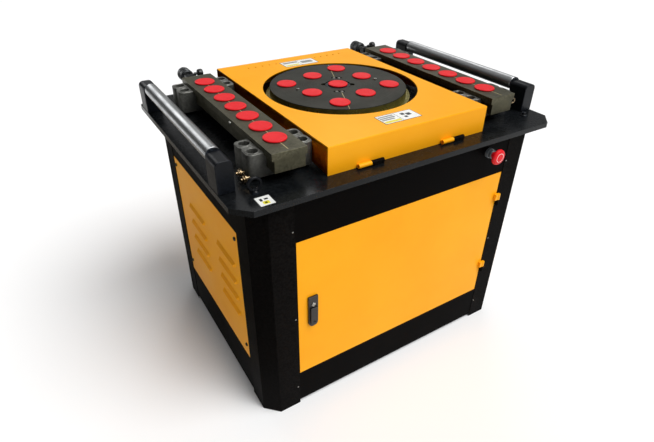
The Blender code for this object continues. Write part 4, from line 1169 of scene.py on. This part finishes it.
@dataclass
class FeedScrew(Assembly):
    """A feed screw with its knurled knob, thread and lock knob."""

    side: str = "left"
    lead: float = 8 * MM
    knurls: int = 60

    def build(self) -> None:
        """Build the knob, the bright shaft with its thread, and the lock knob."""
        self.body = f"{self.side}_screw"
        node = f"{self.side}_feed_screw"
        box = box_of(node)
        radius = box.size.x / 2
        x, z = box.centre.x, box.centre.z
        knob_front = box.high.y - 56 * MM
        star = [((radius - (0.7 * MM if i % 2 else 0)) * math.cos(FULL_TURN * i / (2 * self.knurls)),
                 (radius - (0.7 * MM if i % 2 else 0)) * math.sin(FULL_TURN * i / (2 * self.knurls)))
                for i in range(2 * self.knurls)]
        grips = [prism("grip", star, low * MM, high * MM) for low, high in ((3, 20), (24, 41))]
        smooth = radius - 1.6 * MM
        core = turned("core", [(0, 0), (smooth - 2 * MM, 0), (smooth, 2 * MM), (smooth, 44 * MM),
                               (smooth - 1.5 * MM, 46 * MM), (radius * 0.55, 46 * MM),
                               (radius * 0.5, 55.6 * MM), (0, 55.6 * MM)], (0, 0, 0), sides=64)
        for grip in grips:
            core = carve(core, grip, "UNION")
        knob = put(core, (x, box.high.y - 56 * MM, z), (-QUARTER, 0, 0))
        self.keep(knob, BLACK_OXIDE, node, smooth=30)
        knob.name = f"{self.side}_knurled_knob"
        lug_back = TABLE.centre.y + 0.355 + 0.5 * MM
        length = knob_front - box.low.y
        collar = lug_back - box.low.y
        shaft = [(0, 0), (5.6 * MM, 0), (5.6 * MM, collar), (11.5 * MM, collar),
                 (11.8 * MM, collar + 0.8 * MM), (11.8 * MM, collar + 5 * MM),
                 (9 * MM, collar + 5.6 * MM), (9 * MM, length + MM), (0, length + MM)]
        self.keep(turned(f"{self.side}_screw_shaft", shaft, (x, box.low.y, z), "Y", 48), TURNED_STEEL)
        self.thread(x, box.low.y + 2 * MM, z, collar - 8 * MM)

    def thread(self, x: float, y: float, z: float, length: float) -> None:
        """The two-start thread: two tooth profiles screwed along the shaft.

        Args:
            x: the axis's place.
            y: where the thread starts.
            z: the axis's height.
            length: how far it runs.
        """
        starts = []
        for start in (0, self.lead / 2):
            tooth = [(5.2 * MM, 0.0, start + 0.2 * MM), (7.8 * MM, 0.0, start + 1.4 * MM),
                     (7.8 * MM, 0.0, start + 2.4 * MM), (5.2 * MM, 0.0, start + 3.6 * MM)]
            helix = drawn_line("helix", tooth, True)
            bpy.ops.object.mode_set(mode="OBJECT")
            turn = helix.modifiers.new("turn", "SCREW")
            turn.steps = 24
            turn.render_steps = 24
            turn.screw_offset = self.lead
            turn.iterations = int(length / self.lead)
            turn.use_merge_vertices = True
            turn.merge_threshold = 0.01 * MM
            select_only(helix)
            bpy.ops.object.modifier_apply(modifier=turn.name)
            edit(helix)
            bpy.ops.mesh.select_all(action="DESELECT")
            bpy.ops.mesh.select_non_manifold()
            bpy.ops.mesh.edge_face_add()
            leave_edit()
            starts.append(helix)
        piece = joined(f"{self.side}_screw_thread", starts)
        self.keep(put(piece, (x, y, z), (-QUARTER, 0, 0)), TURNED_STEEL)


@dataclass
class LockKnob(Assembly):
    """The small black lock knob that stands beside a feed screw."""

    name: str = "lock_knob"
    place: Triple = (0.0, 0.0, 0.0)

    def build(self) -> None:
        """A round knob on a bright stud, lying along X beside its lug."""
        profile = [(0, -2 * MM), (4 * MM, -2 * MM), (4 * MM, 8 * MM), (8 * MM, 9 * MM),
                   (11 * MM, 11 * MM), (12 * MM, 14 * MM), (12 * MM, 22 * MM), (10.5 * MM, 25 * MM),
                   (6 * MM, 26.5 * MM), (0, 27 * MM)]
        self.keep(turned(self.name, profile, self.place, "X", 40), BLACK_PLASTIC, smooth=50)


# --- rollers and fittings ---------------------------------------------------------------------
@dataclass
class Roller(Assembly):
    """One side roller between its two brackets."""

    side: str = "left"

    def build(self) -> None:
        """Build the tube with its end caps, and both brackets."""
        node = f"{self.side}_roller"
        box = box_of(node)
        axle = 10 * MM
        radius = box.size.x / 2
        length = box.size.y - 2 * axle
        edge = 1.2 * MM
        stub = 5.9 * MM
        far = length - 3.5 * MM
        profile = [(0, -axle), (stub, -axle), (stub, 3.5 * MM), (radius - edge, 3.5 * MM),
                   (radius, 3.5 * MM + edge), (radius, far - edge), (radius - edge, far),
                   (stub, far), (stub, length + axle), (0, length + axle)]
        self.keep(turned(f"{self.side}_roller_shell", profile,
                         (box.centre.x, box.low.y + axle, box.centre.z), "Y", 96), ROLLER_STEEL, node,
                  body=f"{self.side}_roller_tube")
        reach = radius - 0.1 * MM
        for end, y, axis in (("front", box.low.y + axle, "Y"), ("rear", box.high.y - axle, "-Y")):
            ring = [(stub + 0.2 * MM, 0), (stub + 0.2 * MM, 2.4 * MM), (radius - 2.9 * MM, 2.4 * MM),
                    (radius - 2.9 * MM, 3.4 * MM), (reach, 3.4 * MM), (reach, 0.8 * MM),
                    (reach - 0.8 * MM, 0)]
            self.keep(turned(f"{self.side}_{end}_roller_cap", ring, (box.centre.x, y, box.centre.z), axis,
                             72, closed=True), BRACKET_BLACK, body=f"{self.side}_roller_tube")
            self.bracket(end)

    def bracket(self, end: str) -> None:
        """A bracket with a round top and its edges eased.

        Args:
            end: "front" or "rear".
        """
        node = f"{self.side}_{end}_roller_bracket"
        box = box_of(node)
        width, high, corner = box.size.x, box.size.z, 13 * MM
        x = width / 2
        outline = ([(-x, 0), (x, 0)] + arc((x - corner, high - corner), corner, 0, 90, 10)
                   + arc((corner - x, high - corner), corner, 90, 180, 10))
        piece = prism(f"{self.side}_{end}_bracket", outline, 0, box.size.y,
                      (box.centre.x, box.high.y, box.low.z), (QUARTER, 0, 0))
        inner = box.high.y if end == "front" else box.low.y
        roller = box_of(f"{self.side}_roller")
        bore = turned("bore", [(0, -11 * MM), (6.5 * MM, -11 * MM), (6.5 * MM, 11 * MM), (0, 11 * MM)],
                      (roller.centre.x, inner, roller.centre.z), "Y", 32)
        self.keep(rounded(carve(piece, bore), 2.2 * MM, 3, 40), BRACKET_BLACK, node, smooth=50)


@dataclass
class LiftingEye(Assembly):
    """Lifting eye at the front left of the table."""

    def build(self) -> None:
        """A forged ring on a round foot."""
        box = box_of("lifting_eye")
        wire = box.size.y / 2
        radius = box.size.x / 2 - 3.6 * MM
        x, y = box.centre.x, box.centre.y
        bpy.ops.object.select_all(action="DESELECT")
        bpy.ops.mesh.primitive_torus_add(major_radius=radius, minor_radius=3.6 * MM, major_segments=64,
                                         minor_segments=20,
                                         location=(x, y, box.high.z - radius - 3.6 * MM),
                                         rotation=(QUARTER, 0, 0))
        ring = put(bpy.context.object)
        foot = turned("foot", [(0, 0), (wire, 0), (wire, 3.4 * MM), (wire * 0.9, 4.6 * MM),
                               (wire * 0.6, 6.2 * MM), (wire * 0.5, 9 * MM), (0, 9.4 * MM)],
                      (x, y, box.low.z), sides=40)
        ring.name = "lifting_ring"
        self.keep(carve(ring, foot, "UNION"), BRACKET_BLACK, "lifting_eye", smooth=60)


@dataclass
class DriveTrain(Assembly):
    """Motor, belt, reduction gear and main shaft inside the cabinet."""

    edge: float = 0.6 * MM
    nodes: dict = field(default_factory=lambda: {
        "main_gear_shaft": ("disc", CAST_STEEL, "bull_gear"),
        "input_pulley_shaft": ("input_shaft", CAST_STEEL, "pinion_and_pulley"),
        "gearbox_casing": ("bench", GREY_ENAMEL, "gear_case"),
        "motor_body": ("bench", GREY_ENAMEL, "motor_housing"),
        "motor_pulley": ("motor_rotor", CAST_STEEL, "small_pulley"),
        "v_belt": ("bench", RUBBER, "drive_belt")})

    def build(self) -> None:
        """Ease and dress each piece of the drive."""
        for node, (body, finish, name) in self.nodes.items():
            piece = cad_copy(node, name)
            if node != "v_belt":
                piece = rounded(piece, self.edge, 1, 50)
            self.keep(piece, finish, node, smooth=40, body=body)


# --- studio -----------------------------------------------------------------------------------
@dataclass
class Studio:
    """Pale floor, a card for reflections, one broad key light, a dim sky, and the camera."""

    eye: Triple = (-0.78436, -1.18348, 1.28623)
    yaw: float = 32.088
    pitch: float = -33.925
    roll: float = 0.621
    lens: float = 27.226
    shift: tuple[float, float] = (0.0002, 0.0007)
    key_from: Triple = (0.30, -0.46, 0.82)
    key_power: float = 2.95
    key_width: float = 40.0
    sky_level: float = 0.10
    sky_slope: Triple = (0.12, -0.04, 0.25)
    windows: tuple[Triple, ...] = ((-0.04, 0.89, 0.45), (0.46, 0.65, 0.60))
    window_power: float = 2.4
    window_edge: tuple[float, float] = (0.965, 0.995)
    floor_size: float = 24.0
    floor_grey: float = 0.93
    flag_place: Triple = (-1.9, 0.3, 0.004)
    flag_size: Triple = (2.7, 3.6, 1)
    flag_colour: Triple = (0.22, 0.20, 0.17)

    def build(self) -> None:
        """Set up all of it."""
        self.floor()
        self.flag()
        self.sky()
        self.lamps()
        self.camera()
        bpy.context.scene.view_settings.view_transform = "Standard"

    def floor(self) -> None:
        """A wide plane just under the feet."""
        bpy.ops.object.select_all(action="DESELECT")
        bpy.ops.mesh.primitive_plane_add(size=self.floor_size, location=(0, 0, 0))
        ground = bpy.context.object
        ground.name = "studio_floor"
        made = bpy.data.materials.new("pale_floor")
        made.use_nodes = True
        shader = made.node_tree.nodes["Principled BSDF"]
        shader.inputs["Base Color"].default_value = (*(self.floor_grey,) * 3, 1)
        shader.inputs["Roughness"].default_value = 0.9
        shader.inputs["Specular IOR Level"].default_value = 0.1
        ground.data.materials.append(made)

    def flag(self) -> None:
        """A dark card at the left, met by reflections only, that cuts the floor's glare."""
        bpy.ops.object.select_all(action="DESELECT")
        bpy.ops.mesh.primitive_plane_add(size=1, location=self.flag_place)
        bpy.ops.transform.resize(value=self.flag_size)
        bpy.ops.object.transform_apply(location=True, rotation=True, scale=True)
        card = bpy.context.object
        card.name = "studio_flag"
        made = bpy.data.materials.new("dark_card")
        made.use_nodes = True
        shader = made.node_tree.nodes["Principled BSDF"]
        shader.inputs["Base Color"].default_value = (*self.flag_colour, 1)
        shader.inputs["Roughness"].default_value = 0.9
        card.data.materials.append(made)
        card.visible_camera = False
        card.visible_shadow = False
        card.visible_diffuse = False

    def sky(self) -> None:
        """A dim surround, brighter overhead and to the right, with two soft windows at the rear."""
        world = bpy.data.worlds.new("studio_sky")
        bpy.context.scene.world = world
        world.use_nodes = True
        tree = world.node_tree
        back = tree.nodes["Background"]
        back.inputs["Color"].default_value = (1, 1, 1, 1)
        place = add_node(tree, "ShaderNodeTexCoord").outputs["Generated"]
        slope = add_node(tree, "ShaderNodeVectorMath", {1: self.sky_slope}, {0: place},
                         operation="DOT_PRODUCT")
        base = add_node(tree, "ShaderNodeMath", {1: self.sky_level}, {0: slope.outputs["Value"]},
                        operation="ADD", use_clamp=True)
        total = base.outputs[0]
        for window in self.windows:
            toward = add_node(tree, "ShaderNodeVectorMath", {1: tuple(Vector(window).normalized())},
                              {0: place}, operation="DOT_PRODUCT")
            pane = add_node(tree, "ShaderNodeMapRange", {"From Min": self.window_edge[0],
                                                         "From Max": self.window_edge[1],
                                                         "To Max": self.window_power},
                            {"Value": toward.outputs["Value"]}, interpolation_type="SMOOTHSTEP")
            total = add_node(tree, "ShaderNodeMath", {}, {0: total, 1: pane.outputs["Result"]},
                             operation="ADD").outputs[0]
        tree.links.new(total, back.inputs["Strength"])

    def lamps(self) -> None:
        """One broad key light from the front right above, far away, so that it falls evenly."""
        lamp = bpy.data.lights.new("studio_key", "SUN")
        lamp.energy = self.key_power
        lamp.angle = math.radians(self.key_width)
        holder = bpy.data.objects.new("studio_key", lamp)
        bpy.context.scene.collection.objects.link(holder)
        holder.rotation_euler = (-Vector(self.key_from)).to_track_quat("-Z", "Y").to_euler()

    def camera(self) -> None:
        """The camera, by yaw, pitch and roll in degrees about the table's frame."""
        yaw, pitch, roll = (math.radians(a) for a in (self.yaw, self.pitch, self.roll))
        ahead = Vector((math.sin(yaw) * math.cos(pitch), math.cos(yaw) * math.cos(pitch),
                        math.sin(pitch)))
        across = Vector((math.cos(yaw), -math.sin(yaw), 0))
        upward = across.cross(ahead)
        right = across * math.cos(roll) + upward * math.sin(roll)
        up = upward * math.cos(roll) - across * math.sin(roll)
        lens = bpy.data.cameras.new("studio_camera")
        lens.lens = self.lens
        lens.sensor_width = 36
        lens.shift_x, lens.shift_y = self.shift
        holder = bpy.data.objects.new("studio_camera", lens)
        bpy.context.scene.collection.objects.link(holder)
        x, y, z = self.eye
        holder.matrix_world = Matrix(((right.x, up.x, -ahead.x, x + TABLE.centre.x),
                                      (right.y, up.y, -ahead.y, y + TABLE.centre.y),
                                      (right.z, up.z, -ahead.z, z), (0, 0, 0, 1)))
        bpy.context.scene.camera = holder


def main() -> None:
    """Build every assembly, then the studio."""
    logging.basicConfig(level=logging.INFO, format="%(name)s %(message)s")
    Table().build()
    Cabinet().build()
    Door().build()
    EmergencyStop().build()
    Turntable().build()
    Cover().build()
    for side in ("left", "right"):
        SocketBar(side=side).build()
        for end in ("front", "rear"):
            CrossBlock(side=side, end=end).build()
        FeedScrew(side=side).build()
        Roller(side=side).build()
    LockKnob(name="left_lock_knob", place=at(-0.321, 0.345, 0.066)).build()
    LockKnob(name="right_lock_knob", place=at(0.347, 0.345, 0.066)).build()
    LiftingEye().build()
    DriveTrain().build()
    Studio().build()


if __name__ == "__main__":
    main()
